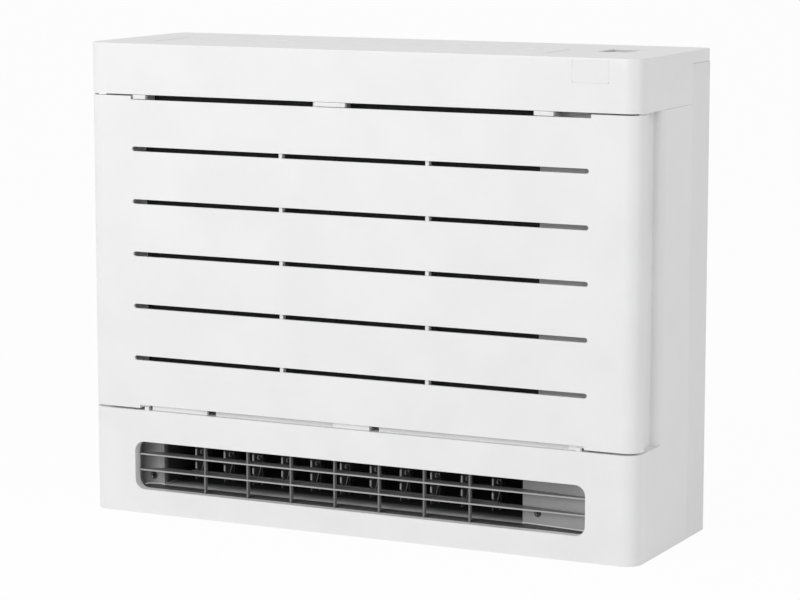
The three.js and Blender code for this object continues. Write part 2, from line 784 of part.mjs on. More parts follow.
function drainPan() {
  const z0 = chamber.floor + wall + seat;
  const z1 = coil.bottom - 2;
  const y0 = coil.front - 5;
  const y1 = chamber.front - seat;
  const x0 = coil.left - 17;
  const x1 = coil.right + 17;
  const trough = cut(
    block(x0, x1, y0, y1, z0, z1),
    extrudeX(
      outline([
        [y0 + 2, z1 + 1],
        [y0 + 2, z0 + 9],
        [(y0 + y1) / 2, z0 + 2],
        [y1 - 2, z0 + 9],
        [y1 - 2, z1 + 1],
      ]),
      x0 + 2,
      x1 - 2,
    ),
  );
  const spout = bar("x", 8, x1 - 1, x1 + 10, (y0 + y1) / 2, z0 + 9, 12);
  const bore = bar("x", 6, x1 - 3, x1 + 11, (y0 + y1) / 2, z0 + 9, 12);
  return cut(join(trough, spout), bore);
}

// Copper pipe from the header plate, over the drain pan's end, to its flare fitting above the pipe opening.
const pipeRoutes = {
  gas: {
    radius: 4.75,
    start: [coil.right + 17, coil.front + 10, coil.bottom + 37],
    end: [pipeWay.left + 20, pipeWay.front + 28, 52],
    aside: 20,
  },
  liquid: {
    radius: 3.2,
    start: [coil.right + 17, coil.back - 6, coil.bottom + 8],
    end: [pipeWay.left + 48, pipeWay.front + 28, 52],
    aside: 36,
  },
};
function connectingPipe({ radius, start, end, aside }) {
  const [sx, sy, sz] = start;
  const [ex, ey, ez] = end;
  const stub = coil.right + seat + plateThickness + seat;
  return tube(
    [
      [stub, sy, sz],
      [sx, sy, sz],
      [sx + aside - 4, sy + 4, sz - 10],
      [sx + aside, sy + 8, chamber.floor + 12],
      [sx + aside + 8, chamber.front + 24, chamber.floor + 3],
      [ex - 3, ey - 32, chamber.floor - 12],
      [ex, ey, ez + 46],
      [ex, ey, ez + 20],
      [ex, ey, ez],
    ],
    radius,
    16,
    6,
  );
}

function flareNut({ radius, end }) {
  const [x, y, z] = end;
  const nut = bar("z", radius + 5, z - 14, z - seat, x, y, 6);
  const neck = bar("z", radius + 2, z - seat - 1, z + 8, x, y, 12);
  return cut(
    join(nut, neck),
    bar("z", radius + seat, z - 4, z + 9, x, y, 12),
    bar("z", radius + 1.2, z - 15, z - 4, x, y, 12),
  );
}

// ---------------------------------------------------------------- fan, about its shaft along Y

function bellMouth() {
  const y0 = chamber.front;
  const y1 = y0 + 2;
  const plate = cut(
    block(
      chamber.left + wall + seat,
      chamber.right - wall - seat,
      y0,
      y1,
      chamber.floor + wall + seat,
      chamber.top,
    ).translate([-fanX, 0, -fanZ]),
    bar("y", throatRadius + 16, y0 - 1, y1 + 1, 0, 0, wheelSides),
  );
  const t = throatRadius;
  const mouth = turned(
    [
      [t + 17, y0],
      [t + 10, y0 + 0.8],
      [t + 4, y0 + 4],
      [t, throatBack],
      [t + 2, throatBack],
      [t + 5.6, y0 + 5.6],
      [t + 17, y1],
    ],
    wheelSides,
  );
  return join(plate, mouth);
}

const hubFront = wheelBack - 34.5;

// Turbo wheel: a hub plate with a cone that turns the air outwards, a flared shroud ring and swept-back
// blades.
function fanWheel() {
  const face = wheelBack - hubPlate;
  const bore = shaftRadius + 0.3;
  const hub = turned(
    [
      [bore, hubFront],
      [16, hubFront],
      [30, hubFront + 10],
      [52, face],
      [wheelRadius, face],
      [wheelRadius, wheelBack],
      [51, wheelBack],
      [28, hubFront + 13],
      [10, hubFront + 5],
      [10, hubFront + 26],
      [bore, hubFront + 26],
    ],
    wheelSides,
  );
  const shroudY = throatBack - 2;
  const middle = (shroudY + 12.5 + face) / 2 + 2;
  const shroud = turned(
    [
      [throatRadius + 6.5, shroudY],
      [throatRadius + 10.6, shroudY + 8],
      [wheelRadius, shroudY + 13],
      [wheelRadius, shroudY + 15],
      [throatRadius + 9.4, shroudY + 10],
      [throatRadius + 4.5, shroudY],
    ],
    wheelSides,
  );
  const pairs = 5;
  const bladeAt = (start) =>
    [
      { y: face + 0.5, lean: 0, inner: bladeInnerRadius },
      { y: middle, lean: 5, inner: bladeInnerRadius + 2 },
      { y: shroudY + 12.5, lean: 12, inner: bladeInnerRadius + 10 },
    ].map(({ y, lean, inner }) =>
      Array.from({ length: pairs }, (_, i) => {
        const share = i / (pairs - 1);
        const r = THREE.MathUtils.lerp(inner, wheelRadius - 1, share);
        const angle = start - lean - bladeSweep * share ** 1.25;
        const a = THREE.MathUtils.degToRad(angle);
        const thick = bladeThickness * (0.25 + 1.5 * Math.sqrt(share) * (1 - share));
        const half = THREE.MathUtils.radToDeg(thick / r) * 0.0174533;
        return [-half, half].map(
          (turn) => new THREE.Vector3(r * Math.cos(a + turn), y, r * Math.sin(a + turn)),
        );
      }),
    );
  const blades = Array.from({ length: bladeCount }, (_, i) => bladeBetween(bladeAt((360 / bladeCount) * i)));
  return join(hub, shroud, blades);
}

const fanShaft = () => bar("y", shaftRadius, hubFront - 10, motorFront - seat, 0, 0, 16);

function fanNut() {
  const y1 = hubFront - seat;
  return cut(bar("y", 8, y1 - 7, y1, 0, 0, 6), bar("y", shaftRadius + 0.3, y1 - 12, y1 + 1, 0, 0, 16));
}

function fanMotor() {
  const y0 = motorFront;
  const y1 = motorBack;
  const can = turned(
    [
      [0, y0],
      [18, y0],
      [20, y0 + 5],
      [motorRadius - 8, y0 + 7],
      [motorRadius, y0 + 13],
      [motorRadius, y1 - 4],
      [motorRadius - 4, y1],
      [0, y1],
    ],
    18,
  );
  const ears = [45, 135, 225, 315].map((angle) => {
    const a = THREE.MathUtils.degToRad(angle);
    const reach = motorRadius + 8;
    return [
      bar("y", 8, y1 - 1, y1 + 3 - seat, reach * Math.cos(a), reach * Math.sin(a), 10),
      block(motorRadius - 10, reach, y1 - 1, y1 + 3 - seat, -6, 6).rotate([0, -angle, 0]),
    ];
  });
  const connector = block(-14, 14, y0 + 16, y1 - 16, motorRadius - 6, motorRadius + 8);
  return join(can, ears.flat(), connector);
}

// ---------------------------------------------------------------- upper outlet

// inside of the upper duct as (y, z) corners, from its front edge over the chamber round to its back edge
const upperInner = [
  [chamber.front + 2.8, chamber.top + seat],
  [flapFront + 2, chamber.top + 23],
  [flapFront + 2, height - 9],
  [flapPivot.y + flapBarrel + 1.2, height - 9],
  [flapPivot.y + flapBarrel + 1.2, height - 38],
  [flapPivot.y + flapBarrel + 14, coverBottom + 9],
  [backFace - 49, coverBottom],
  [backFace - 11, chamber.top + seat],
];
const ductPlace = { left: flapSpan.left - flapEndGap, right: flapSpan.right + flapEndGap };

function upperBladeX(i) {
  const centre = (flapSpan.left + flapSpan.right) / 2;
  return centre + (i - (upperBladeCount - 1) / 2) * upperBladePitch;
}

function upperDuct() {
  const front = upperInner[1][0];
  const rear = upperInner[3][0];
  // how far the outside stands off the inside at each corner, with the front foot's extra corner
  const [foot, kneeFront, mouthFront, mouthRear, kneeRear, bend, slopeEnd, heel] = upperInner;
  const outerProfile = outline([
    [foot[0] - 1.2, foot[1]],
    [foot[0] - wall - 0.9, foot[1] + 1],
    [kneeFront[0] - wall, kneeFront[1] - 1],
    [mouthFront[0] - wall, mouthFront[1]],
    [mouthRear[0] + wall, mouthRear[1]],
    [kneeRear[0] + wall, kneeRear[1] + 0.8],
    [bend[0] + 1.6, bend[1] + 2],
    [slopeEnd[0] + 0.6, slopeEnd[1] + 2.4],
    [heel[0] + 2, heel[1] + 2],
    [heel[0] + 2, heel[1]],
  ]);
  const shell = cut(
    extrudeX(outerProfile, ductPlace.left - wall, ductPlace.right + wall),
    extrudeX(
      outline([
        [foot[0], foot[1] - 1],
        ...upperInner.slice(0, 3),
        [front, height],
        [rear, height],
        ...upperInner.slice(3),
        [heel[0], chamber.top - 1],
      ]),
      ductPlace.left,
      ductPlace.right,
    ),
  );
  const cheeks = [
    [ductPlace.left - wall, ductPlace.left],
    [ductPlace.right, ductPlace.right + wall],
  ].map(([x0, x1]) =>
    block(x0, x1, flapPivot.y - 7, flapPivot.y + 7, height - 12, height - wall - seat),
  );
  const flapBores = bar(
    "x",
    3.4,
    ductPlace.left - wall - 1,
    ductPlace.right + wall + 1,
    flapPivot.y,
    flapPivot.z,
  );
  const bladeBores = Array.from({ length: upperBladeCount }, (_, i) =>
    bar("y", pivotBoreRadius, front - wall - 1, rear + wall + 1, upperBladeX(i), upperBlade.pivot, 6),
  );
  return cut(join(shell, cheeks), flapBores, bladeBores);
}

function topFlap() {
  const front = flapFront - flapPivot.y;
  const shape = new THREE.Shape();
  const top = flapBarrel;
  shape.moveTo(front, top - flapSkin - 2.5);
  shape.lineTo(front + 3, top - flapSkin - 2.5);
  shape.lineTo(front + 5, top - flapSkin);
  shape.lineTo(-3, top - flapSkin);
  shape.absarc(0, 0, top - flapSkin, Math.PI / 2, -Math.PI / 3, true);
  shape.lineTo(top * Math.cos(Math.PI / 3), -top * Math.sin(Math.PI / 3));
  shape.absarc(0, 0, top, -Math.PI / 3, Math.PI / 2, false);
  shape.lineTo(front + 1.5, top);
  shape.lineTo(front, top - 1.5);
  const plate = extrudeX(shape, flapSpan.left, flapSpan.right, 4);
  // arms reach from the plate round the pins on which the flap turns
  const arms = [
    [flapSpan.left, flapSpan.left + 3],
    [flapSpan.right - 3, flapSpan.right],
  ].map(([x0, x1]) =>
    extrudeX(
      outline([
        [-9, top - flapSkin + 0.5],
        [-4, -5],
        [0, -6],
        [5, -4],
        [6, 2],
        [5, top - flapSkin + 0.5],
      ]),
      x0,
      x1,
    ),
  );
  const pins = [
    bar("x", 3, ductPlace.left - wall + 0.2, flapSpan.left + 1, 0, 0, 10),
    bar("x", 3, flapSpan.right - 1, ductPlace.right + wall - 0.2, 0, 0, 10),
  ];
  const ribs = [0.2, 0.4, 0.6, 0.8].map((share) => {
    const x = THREE.MathUtils.lerp(flapSpan.left, flapSpan.right, share);
    return block(x - 1, x + 1, front + 6, -6, top - flapSkin - 2, top - flapSkin + 0.5);
  });
  return join(plate, arms, pins, ribs);
}

const upperTie = { y: flapFront + 41, z: upperBlade.bottom + 5.5 };

// Louver blade of the upper outlet about its pins along Y, in its pivot's frame.
function upperLouver() {
  const y0 = upperInner[1][0] + 3;
  const y1 = upperInner[3][0] - 3.2;
  const z0 = upperBlade.bottom - upperBlade.pivot + 2;
  const z1 = upperBlade.top - upperBlade.pivot;
  const middle = upperTie.y;
  const notch = 5.5;
  const plate = extrudeX(
    outline([
      [y0 + 4, z0],
      [middle - notch, z0],
      [middle - notch, z0 + 9.5],
      [middle + notch, z0 + 9.5],
      [middle + notch, z0],
      [y1 - 4, z0],
      [y1, z0 + 5],
      [y1, z1 - 6],
      [y1 - 8, z1],
      [y0 + 3, z1],
      [y0, z1 - 3],
      [y0, z0 + 4],
    ]),
    -upperBlade.thickness / 2,
    upperBlade.thickness / 2,
  );
  const spine = bar("y", pivotPinRadius, y0 - 4.8, y1 + 5, 0, 0, 6);
  const tiePin = bar("y", tiePinRadius, middle - notch - 0.5, middle + notch + 0.5, 0, z0 + 3.5, 6);
  return join(plate, spine, tiePin);
}

// Flat bar that joins louvers a pitch apart: `count` holes from x = 0, thin along Y or Z.
function tieBar(count, pitch, thin) {
  const end = (count - 1) * pitch;
  const half = tieBarThickness / 2;
  const shape = rounded(-8, end + 8, -tieBarWidth / 2, tieBarWidth / 2, 2.4);
  const pull = thin === "y" ? extrudeY : extrudeZ;
  const holes = Array.from({ length: count }, (_, i) =>
    thin === "y"
      ? bar("y", tieBoreRadius, -half - 1, half + 1, i * pitch, 0, 6)
      : bar("z", tieBoreRadius, -half - 1, half + 1, i * pitch, 0, 6),
  );
  return cut(pull(shape, -half, half, 1), holes);
}

// ---------------------------------------------------------------- lower outlet

function outletGrille() {
  const y0 = frontFace + outlet.rim + seat;
  const y1 = y0 + ringDepth;
  const { left, right, bottom, top, radius } = outlet;
  const ring = cut(
    block(left - 9, right + 9, y0, y1, bottom - 9, top + 9),
    extrudeY(rounded(left + seat, right - seat, bottom + seat, top - seat, radius - seat), y0 - 1, y1 + 1),
  );
  // bars and ribs hang free in the mouth, and their ends run back to the ring
  const free = 0.5;
  const barFront = frontFace + 8;
  const thick = 0.9;
  // each bar is a plate that is deepest across the duct's mouth
  const barPlan = outline([
    [left + free, barFront],
    [right - free, barFront],
    [right - free, y1 - 1],
    [right - free - 2, y1 - 1],
    [duct.right - 3, duct.mouth - 0.5],
    [duct.left + 4, duct.mouth - 0.5],
    [left + free + 2, y1 - 1],
    [left + free, y1 - 1],
  ]);
  const bars = grilleBarHeights.flatMap((z) => [
    extrudeZ(barPlan, z - thick, z + thick),
    block(left - 1, left + free + 2, y0, y1 - 1, z - thick, z + thick),
    block(right - free - 2, right + 1, y0, y1 - 1, z - thick, z + thick),
  ]);
  const ribFront = barFront + 1;
  const ribs = Array.from({ length: grilleRibCount }, (_, i) => {
    const x = grilleRibStart + i * grilleRibPitch;
    const [x0, x1] = [x - 1.1, x + 1.1];
    const side = outline([
      [ribFront, bottom + free],
      [y0, bottom + free],
      [y0, bottom - 1],
      [y1 - 1, bottom - 1],
      [y1 - 1, bottom + free + 2],
      [ribFront + 5.5, bottom + free + 2],
      [ribFront + 5.5, top - free - 2],
      [y1 - 1, top - free - 2],
      [y1 - 1, top + 1],
      [y0, top + 1],
      [y0, top - free],
      [ribFront, top - free],
    ]);
    return extrudeX(side, x0, x1);
  });
  return join(ring, bars, ribs);
}

// Lower duct: the channel that turns the air forward, its flange and the surround in front of it.
function lowerDuct() {
  const channelProfile = (grow) => {
    const shape = new THREE.Shape();
    const floor = duct.bottom - grow;
    const roof = duct.top + grow;
    const bend = 52;
    const lip = (ductThroatFront - duct.front) * 0.35;
    shape.moveTo(duct.mouth, floor);
    shape.lineTo(duct.back - bend, floor);
    shape.absarc(duct.back - bend, duct.bottom + bend, bend + grow, -Math.PI / 2, 0);
    shape.lineTo(duct.back + grow, chamber.floor - seat);
    shape.lineTo(ductThroatFront - grow, chamber.floor - seat);
    shape.lineTo(ductThroatFront - grow, duct.top + lip);
    shape.absarc(ductThroatFront - lip, duct.top + lip, lip - grow, 0, -Math.PI / 2, true);
    shape.lineTo(duct.mouth, roof);
    return shape;
  };
  const hollow = join(
    extrudeX(channelProfile(0), duct.left, duct.right),
    block(duct.left, duct.right, duct.mouth - 1, duct.mouth + 1, duct.bottom, duct.top),
    block(duct.left, duct.right, ductThroatFront, duct.back, chamber.floor - 1, chamber.floor + 1),
  );
  const channel = extrudeX(channelProfile(wall), duct.left - wall, duct.right + wall);
  const flange = block(-halfWidth + 30, halfWidth - 30, duct.front, duct.front + wall, 12, outlet.top + 25);
  // the surround narrows from the rim of the opening to the duct: curved on the left, sloping elsewhere
  const surroundFront = frontFace + outlet.rim + seat + ringDepth + seat;
  const opening = [outlet.left + 1, outlet.right - 1, outlet.bottom + 1, outlet.top - 1];
  const grown = [opening[0] - wall, opening[1] + wall, opening[2] - wall, opening[3] + wall];
  const frame = extrudeY(rounded(...grown, outlet.radius), surroundFront, duct.mouth + wall);
  const plan = new THREE.Shape();
  plan.moveTo(opening[0], surroundFront - 1);
  plan.lineTo(opening[1], surroundFront - 1);
  plan.lineTo(opening[1], surroundFront);
  plan.lineTo(duct.right, duct.mouth);
  plan.lineTo(duct.right, duct.mouth + wall + 1);
  plan.lineTo(duct.left, duct.mouth + wall + 1);
  plan.lineTo(duct.left, duct.mouth);
  plan.quadraticCurveTo(opening[0] + 2, duct.mouth - 0.5, opening[0], surroundFront);
  const side = outline([
    [surroundFront - 1, opening[2]],
    [surroundFront, opening[2]],
    [duct.mouth, duct.bottom],
    [duct.mouth + wall + 1, duct.bottom],
    [duct.mouth + wall + 1, duct.top],
    [duct.mouth, duct.top],
    [surroundFront, opening[3]],
    [surroundFront - 1, opening[3]],
  ]);
  const funnel = extrudeZ(plan, opening[2] - 1, opening[3] + 1, 4)
    .intersect(extrudeX(side, opening[0] - 1, opening[1] + 1))
    .intersect(extrudeY(rounded(...opening, outlet.radius - wall), surroundFront - 1, duct.front));
  const bladeBores = Array.from({ length: lowerBladeCount }, (_, i) =>
    bar("z", pivotBoreRadius, duct.bottom - 4, duct.top + 4, lowerBladeX(i), lowerBladePivotY, 6),
  );
  const damperBores = bar(
    "x",
    2.9,
    duct.left - wall - 1,
    duct.right + wall + 1,
    damperPivot.y,
    damperPivot.z,
    10,
  );
  const screwHole = bar("y", 4, surroundFront - 1, duct.mouth + wall + 1, duct.right + 21, duct.bottom + 15);
  return cut(join(channel, flange, frame), funnel, hollow, bladeBores, damperBores, screwHole);
}

const lowerBladeX = (i) => lowerBladeStart + i * lowerBladePitch;

// Upright louver blade about its pins along Z, with a notch for the tie bar, in its pivot's frame.
function lowerLouver() {
  const { front, back, bottom, top, thickness } = lowerBlade;
  const shape = new THREE.Shape();
  const lobe = 8;
  shape.moveTo(front, bottom);
  shape.lineTo(front, bottom + 6);
  shape.lineTo(front + 10, bottom + 6);
  shape.lineTo(front + 10, bottom + 14);
  shape.lineTo(front, bottom + 14);
  shape.lineTo(front, top - 2 * lobe - 4);
  shape.lineTo(front + 3, top - 2 * lobe - 1);
  shape.lineTo(front, top - 2 * lobe + 2);
  shape.lineTo(front, top - lobe);
  shape.absarc(front + lobe, top - lobe, lobe, Math.PI, Math.PI / 2, true);
  shape.lineTo(back - 4, top);
  shape.lineTo(back, top - 10);
  shape.lineTo(back, bottom + 5);
  shape.lineTo(back - 5, bottom);
  const plate = extrudeX(shape, -thickness / 2, thickness / 2, 1);
  const spine = bar("z", pivotPinRadius, bottom - 5, top + 5, 0, 0, 6);
  const tiePin = bar("z", tiePinRadius, bottom + 5.5, bottom + 14.5, 0, front + 4, 6);
  return join(plate, spine, tiePin);
}
const lowerTie = { y: lowerBladePivotY + lowerBlade.front + 4, z: lowerBlade.bottom + 10 };

// Damper in the throat of the lower duct: a plate that hangs open from its pins, in its pivot's frame.
function lowerDamper() {
  const x0 = duct.left + 1.5;
  const x1 = duct.right - 1.5;
  const shape = new THREE.Shape();
  shape.absarc(0, 0, 4.5, 0, Math.PI);
  shape.lineTo(-1.5, -6);
  shape.lineTo(-1, -damperLength);
  shape.lineTo(1.5, -damperLength);
  shape.lineTo(1.5, -4.5);
  const plate = extrudeX(shape, x0, x1, 3);
  return join(plate, bar("x", 2.5, x0 - 3.6, x1 + 3.6, 0, 0, 10));
}

// Small stepping motor with its mounting ears. Its flat face is at 0 and its body runs along -Y.
function steppingMotor() {
  const half = stepperRadius + 4;
  return join(
    bar("y", stepperRadius, -stepperLength, 0, 0, stepperOffset, 14),
    extrudeY(rounded(-half, half, stepperOffset - 4, stepperOffset + 4, 3), -1.5, 0, 1),
    block(-8, 8, -stepperLength + 1, -3, stepperOffset, stepperOffset + stepperRadius + 3),
  );
}

// ---------------------------------------------------------------- display, button and electrics

function displayWindow() {
  const { left, right, bottom, top } = display;
  const lens = extrudeY(
    rounded(left + seat, right - seat, bottom + seat, top - seat, 2),
    frontFace,
    frontFace + wall + seat + 0.5,
    1,
  );
  const flange = block(
    left - 2,
    right + 2,
    frontFace + wall + seat,
    frontFace + wall + seat + 1.2,
    bottom - 2,
    height - wall - seat,
  );
  return join(lens, flange);
}

function displayBoard() {
  const { left, right, bottom, top } = display;
  const y0 = frontFace + wall + 4.5;
  const plate = block(left - 3, right + 3, y0, y0 + 1.6, bottom - 4, top - 0.5);
  const lamps = [0.2, 0.35, 0.5].map((share) =>
    bar("y", 2, y0 - 2.5, y0 + 0.5, THREE.MathUtils.lerp(left, right, share), bottom + 9, 8),
  );
  const receiver = block(right - 14, right - 5, y0 - 2.5, y0 + 0.5, bottom + 5, bottom + 15);
  const feet = [left - 1, right - 1].map((x) =>
    block(x, x + 2, frontFace + wall + 1.8, y0 + 0.5, bottom - 1, top),
  );
  return join(plate, lamps, receiver, feet);
}

function buttonTray() {
  const { left, right, front, back } = button;
  const top = height - 0.6;
  const floor = height - 8;
  const outer = extrudeZ(rounded(left + seat, right - seat, front + seat, back - seat, 4), floor, top, 1);
  const hollow = extrudeZ(rounded(left + 2, right - 2, front + 2, back - 2, 3), floor + 1.6, top + 1, 1);
  const rimPlan = rounded(left - 2.5, right + 2.5, front - 0.5, back + 2.5, 4);
  const rim = extrudeZ(rimPlan, floor, height - wall - seat, 1);
  const stemHole = bar("z", 4.4, floor - 1, floor + 3, (left + right) / 2, (front + back) / 2 - 8);
  return cut(join(outer, rim), hollow, stemHole);
}

function powerButton() {
  const cap = extrudeZ(rounded(-14, 14, -11, 11, 6), 3.6, 6.4, 3);
  return join(cap, bar("z", 4, -4, 4, 0, 0, 12));
}

function electricalBox() {
  const { left, right, bottom, top, front, back } = box;
  const t = box.wall;
  const tray = cut(
    block(left, right, front + 3, back, bottom, top),
    block(left + t, right - t, front, back - t, bottom + t, top - t),
  );
  const vents = [0, 1, 2, 3, 4].map((i) =>
    block(left + 14, right - 14, back - t - 1, back + 1, top - 60 - i * 12, top - 54 - i * 12),
  );
  return cut(tray, vents, block(left + 30, left + 50, 0, 20, bottom - 1, bottom + t + 1));
}

function electricalCover() {
  const { left, right, bottom, top, front } = box;
  const y = front + 3 - seat;
  const plate = block(left - 1, right + 1, y - box.wall, y, bottom + 55, top + 1);
  const beadPlan = rounded(left + 16, right - 16, bottom + 90, top - 40, 8);
  const bead = extrudeY(beadPlan, y - box.wall - 1.5, y - 0.5, 2);
  return join(plate, bead);
}

function controlBoard() {
  const { left, right, bottom, top, back } = box;
  const y = back - box.wall - 10;
  const plate = block(left + 6, right - 6, y, y + 1.6, bottom + 75, top - 12);
  const parts = [
    block(left + 12, left + 42, y - 26, y + 0.5, top - 70, top - 34),
    bar("y", 11, y - 34, y + 0.5, right - 22, top - 50, 12),
    bar("y", 8, y - 24, y + 0.5, right - 22, top - 82, 12),
    block(left + 14, right - 18, y - 18, y + 0.5, top - 150, top - 108),
    block(left + 12, left + 30, y - 12, y + 0.5, bottom + 110, bottom + 150),
    block(left + 44, right - 14, y - 9, y + 0.5, bottom + 90, bottom + 100),
  ];
  const spacers = [bottom + 82, top - 20].flatMap((z) =>
    [left + 12, right - 12].map((x) => bar("y", 3, y + 1, back - box.wall - seat, x, z, 8)),
  );
  return join(plate, parts, spacers);
}

function terminalBlock() {
  const { left, right, bottom, back } = box;
  const y1 = back - box.wall - seat;
  const body = block(left + 10, right - 10, y1 - 22, y1, bottom + 14, bottom + 40);
  const ways = Array.from({ length: 4 }, (_, i) => {
    const x = left + 18 + i * 14;
    return block(x - 4, x + 4, y1 - 23, y1 - 12, bottom + 10, bottom + 28);
  });
  const screws = Array.from({ length: 4 }, (_, i) =>
    bar("y", 3, y1 - 24, y1 - 21, left + 18 + i * 14, bottom + 34, 8),
  );
  return join(cut(body, ways), screws);
}

// ---------------------------------------------------------------- assembly

const cabinet = subAssembly();
piece(cabinet, "front_casing", frontCasing(), white);
piece(cabinet, "top_cover", topCover(), white);
piece(cabinet, "rear_casing", rearCasing(), offWhite);
piece(cabinet, "wall_bracket", wallBracket(), steel);

const panelHinge = subAssembly(airConditioner, 0, pivotY, pivotZ);
piece(panelHinge, "front_panel", frontPanel(), white);

const intakeGroup = subAssembly();
piece(intakeGroup, "intake_frame", intakeFrame(), white);
for (const [name, side] of [["panel_latch_left", -1], ["panel_latch_right", 1]]) {
  const latch = piece(intakeGroup, name, panelLatch(side), white);
  latch.position.set(latchPlace(side).centre, latchY, latchShelf + seat);
}
piece(intakeGroup, "filter_left", airFilter(intake.left + seat, intakeMiddle - 0.5), black);
piece(intakeGroup, "filter_right", airFilter(intakeMiddle + 0.5, intake.right - seat), black);
piece(intakeGroup, "deodorising_cartridge", deodorisingCartridge(), foam);

const heatExchanger = subAssembly();
piece(heatExchanger, "fin_pack", finPack(), aluminium);
piece(heatExchanger, "return_bend_plate", endPlate(-1), copper);
piece(heatExchanger, "header_plate", endPlate(1), copper);
piece(heatExchanger, "drain_pan", drainPan(), offWhite);
for (const [name, route] of Object.entries(pipeRoutes)) {
  piece(heatExchanger, `${name}_pipe`, connectingPipe(route), copper);
  piece(heatExchanger, `${name}_flare_nut`, flareNut(route), brass);
}

const fan = subAssembly(airConditioner, fanX, 0, fanZ);
piece(fan, "bell_mouth", bellMouth(), offWhite);
piece(fan, "fan_wheel", fanWheel(), offWhite);
piece(fan, "fan_shaft", fanShaft(), steel);
piece(fan, "fan_nut", fanNut(), steel);
piece(fan, "fan_motor", fanMotor(), steel);

const upperOutlet = subAssembly();
piece(upperOutlet, "upper_duct", upperDuct(), ductGrey);
piece(upperOutlet, "top_flap", topFlap(), white).position.set(0, flapPivot.y, flapPivot.z);
for (let i = 0; i < upperBladeCount; i++) {
  const blade = piece(upperOutlet, `upper_louver_${i + 1}`, upperLouver(), bladeGrey);
  blade.position.set(upperBladeX(i), 0, upperBlade.pivot);
}
const upperTieBar = tieBar(upperBladeCount, upperBladePitch, "y");
const upperBar = piece(upperOutlet, "upper_tie_bar", upperTieBar, ductGrey);
upperBar.position.set(upperBladeX(0), upperTie.y, upperTie.z);
const flapMotor = piece(upperOutlet, "flap_motor", steppingMotor(), offWhite);
flapMotor.rotation.set(0, Math.PI, -Math.PI / 2);
flapMotor.position.set(ductPlace.right + wall + seat, flapPivot.y, flapPivot.z);
const upperMotor = piece(upperOutlet, "upper_louver_motor", steppingMotor(), offWhite);
upperMotor.rotation.set(0, 0, Math.PI);
upperMotor.position.set(upperBladeX(0), upperInner[3][0] + wall + seat, upperBlade.pivot);

const lowerOutlet = subAssembly();
piece(lowerOutlet, "lower_duct", lowerDuct(), ductGrey);
piece(lowerOutlet, "outlet_grille", outletGrille(), grilleGrey);
for (let i = 0; i < lowerBladeCount; i++) {
  const blade = piece(lowerOutlet, `lower_louver_${i + 1}`, lowerLouver(), bladeGrey);
  blade.position.set(lowerBladeX(i), lowerBladePivotY, 0);
}
const lowerBar = piece(lowerOutlet, "lower_tie_bar", tieBar(lowerBladeCount, lowerBladePitch, "z"), ductGrey);
lowerBar.position.set(lowerBladeX(0), lowerTie.y, lowerTie.z);
const lowerMotor = piece(lowerOutlet, "lower_louver_motor", steppingMotor(), offWhite);
lowerMotor.rotation.set(-Math.PI / 2, 0, 0);
lowerMotor.position.set(lowerBladeX(lowerBladeCount - 1), lowerBladePivotY, duct.top + wall + seat);
piece(lowerOutlet, "lower_damper", lowerDamper(), ductGrey).position.set(0, damperPivot.y, damperPivot.z);
const damperMotor = piece(lowerOutlet, "damper_motor", steppingMotor(), offWhite);
damperMotor.rotation.set(0, Math.PI, -Math.PI / 2);
damperMotor.position.set(duct.right + wall + seat, damperPivot.y, damperPivot.z);

const controls = subAssembly();
piece(controls, "display_window", displayWindow(), windowGrey);
piece(controls, "display_board", displayBoard(), board);
piece(controls, "button_tray", buttonTray(), grilleGrey);
const powerKey = piece(controls, "power_button", powerButton(), windowGrey);
powerKey.position.set((button.left + button.right) / 2, (button.front + button.back) / 2 - 8, height - 8);
piece(controls, "electrical_box", electricalBox(), steel);
piece(controls, "electrical_cover", electricalCover(), steel);
piece(controls, "control_board", controlBoard(), board);
piece(controls, "terminal_block", terminalBlock(), black);

export default airConditioner;
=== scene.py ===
"""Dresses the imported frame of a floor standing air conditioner.

Finishes for every piece of the frame, shaped louvers, a dense stack of fins, the caps in the gaps round the
front panel, the window's gasket and the outlet's screws, and a plain studio with the camera in front of the
cabinet's right corner. Metres, +Z up.
"""

import math

import bmesh
import bpy
from bpy.props import FloatProperty, FloatVectorProperty, PointerProperty
from mathutils import Matrix, Vector


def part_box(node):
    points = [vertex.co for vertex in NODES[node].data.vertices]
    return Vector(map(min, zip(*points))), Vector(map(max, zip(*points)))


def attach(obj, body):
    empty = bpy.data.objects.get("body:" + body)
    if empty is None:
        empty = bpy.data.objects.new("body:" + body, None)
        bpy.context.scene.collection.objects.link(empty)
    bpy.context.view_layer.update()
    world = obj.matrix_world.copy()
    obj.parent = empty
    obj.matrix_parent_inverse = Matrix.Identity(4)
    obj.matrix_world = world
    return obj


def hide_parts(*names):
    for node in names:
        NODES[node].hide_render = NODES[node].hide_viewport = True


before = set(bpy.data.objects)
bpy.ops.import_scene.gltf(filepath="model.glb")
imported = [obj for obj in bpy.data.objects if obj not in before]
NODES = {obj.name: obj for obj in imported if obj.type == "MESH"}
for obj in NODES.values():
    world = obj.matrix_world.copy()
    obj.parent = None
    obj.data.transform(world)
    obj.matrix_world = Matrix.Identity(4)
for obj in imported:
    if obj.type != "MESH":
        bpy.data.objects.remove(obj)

bl_info = {
    "name": "Floor Standing Air Conditioner",
    "version": (1, 0, 0),
    "blender": (4, 5, 0),
    "location": "View3D > Sidebar > Air Conditioner",
    "description": "Finishes, fine details and studio for a floor standing air conditioner",
    "category": "Object",
}

MM = 0.001


# ---------------------------------------------------------------- settings


def colour(name, description, default):
    """A colour property in linear light."""
    return FloatVectorProperty(
        name=name, description=description, default=default, subtype="COLOR", size=3, min=0, max=1
    )


def length(name, description, default):
    """A length property in metres."""
    return FloatProperty(
        name=name, description=description, default=default, subtype="DISTANCE", unit="LENGTH", min=0
    )


def power(name, description, default):
    """A light's power in watts."""
    return FloatProperty(name=name, description=description, default=default, unit="POWER", min=0)


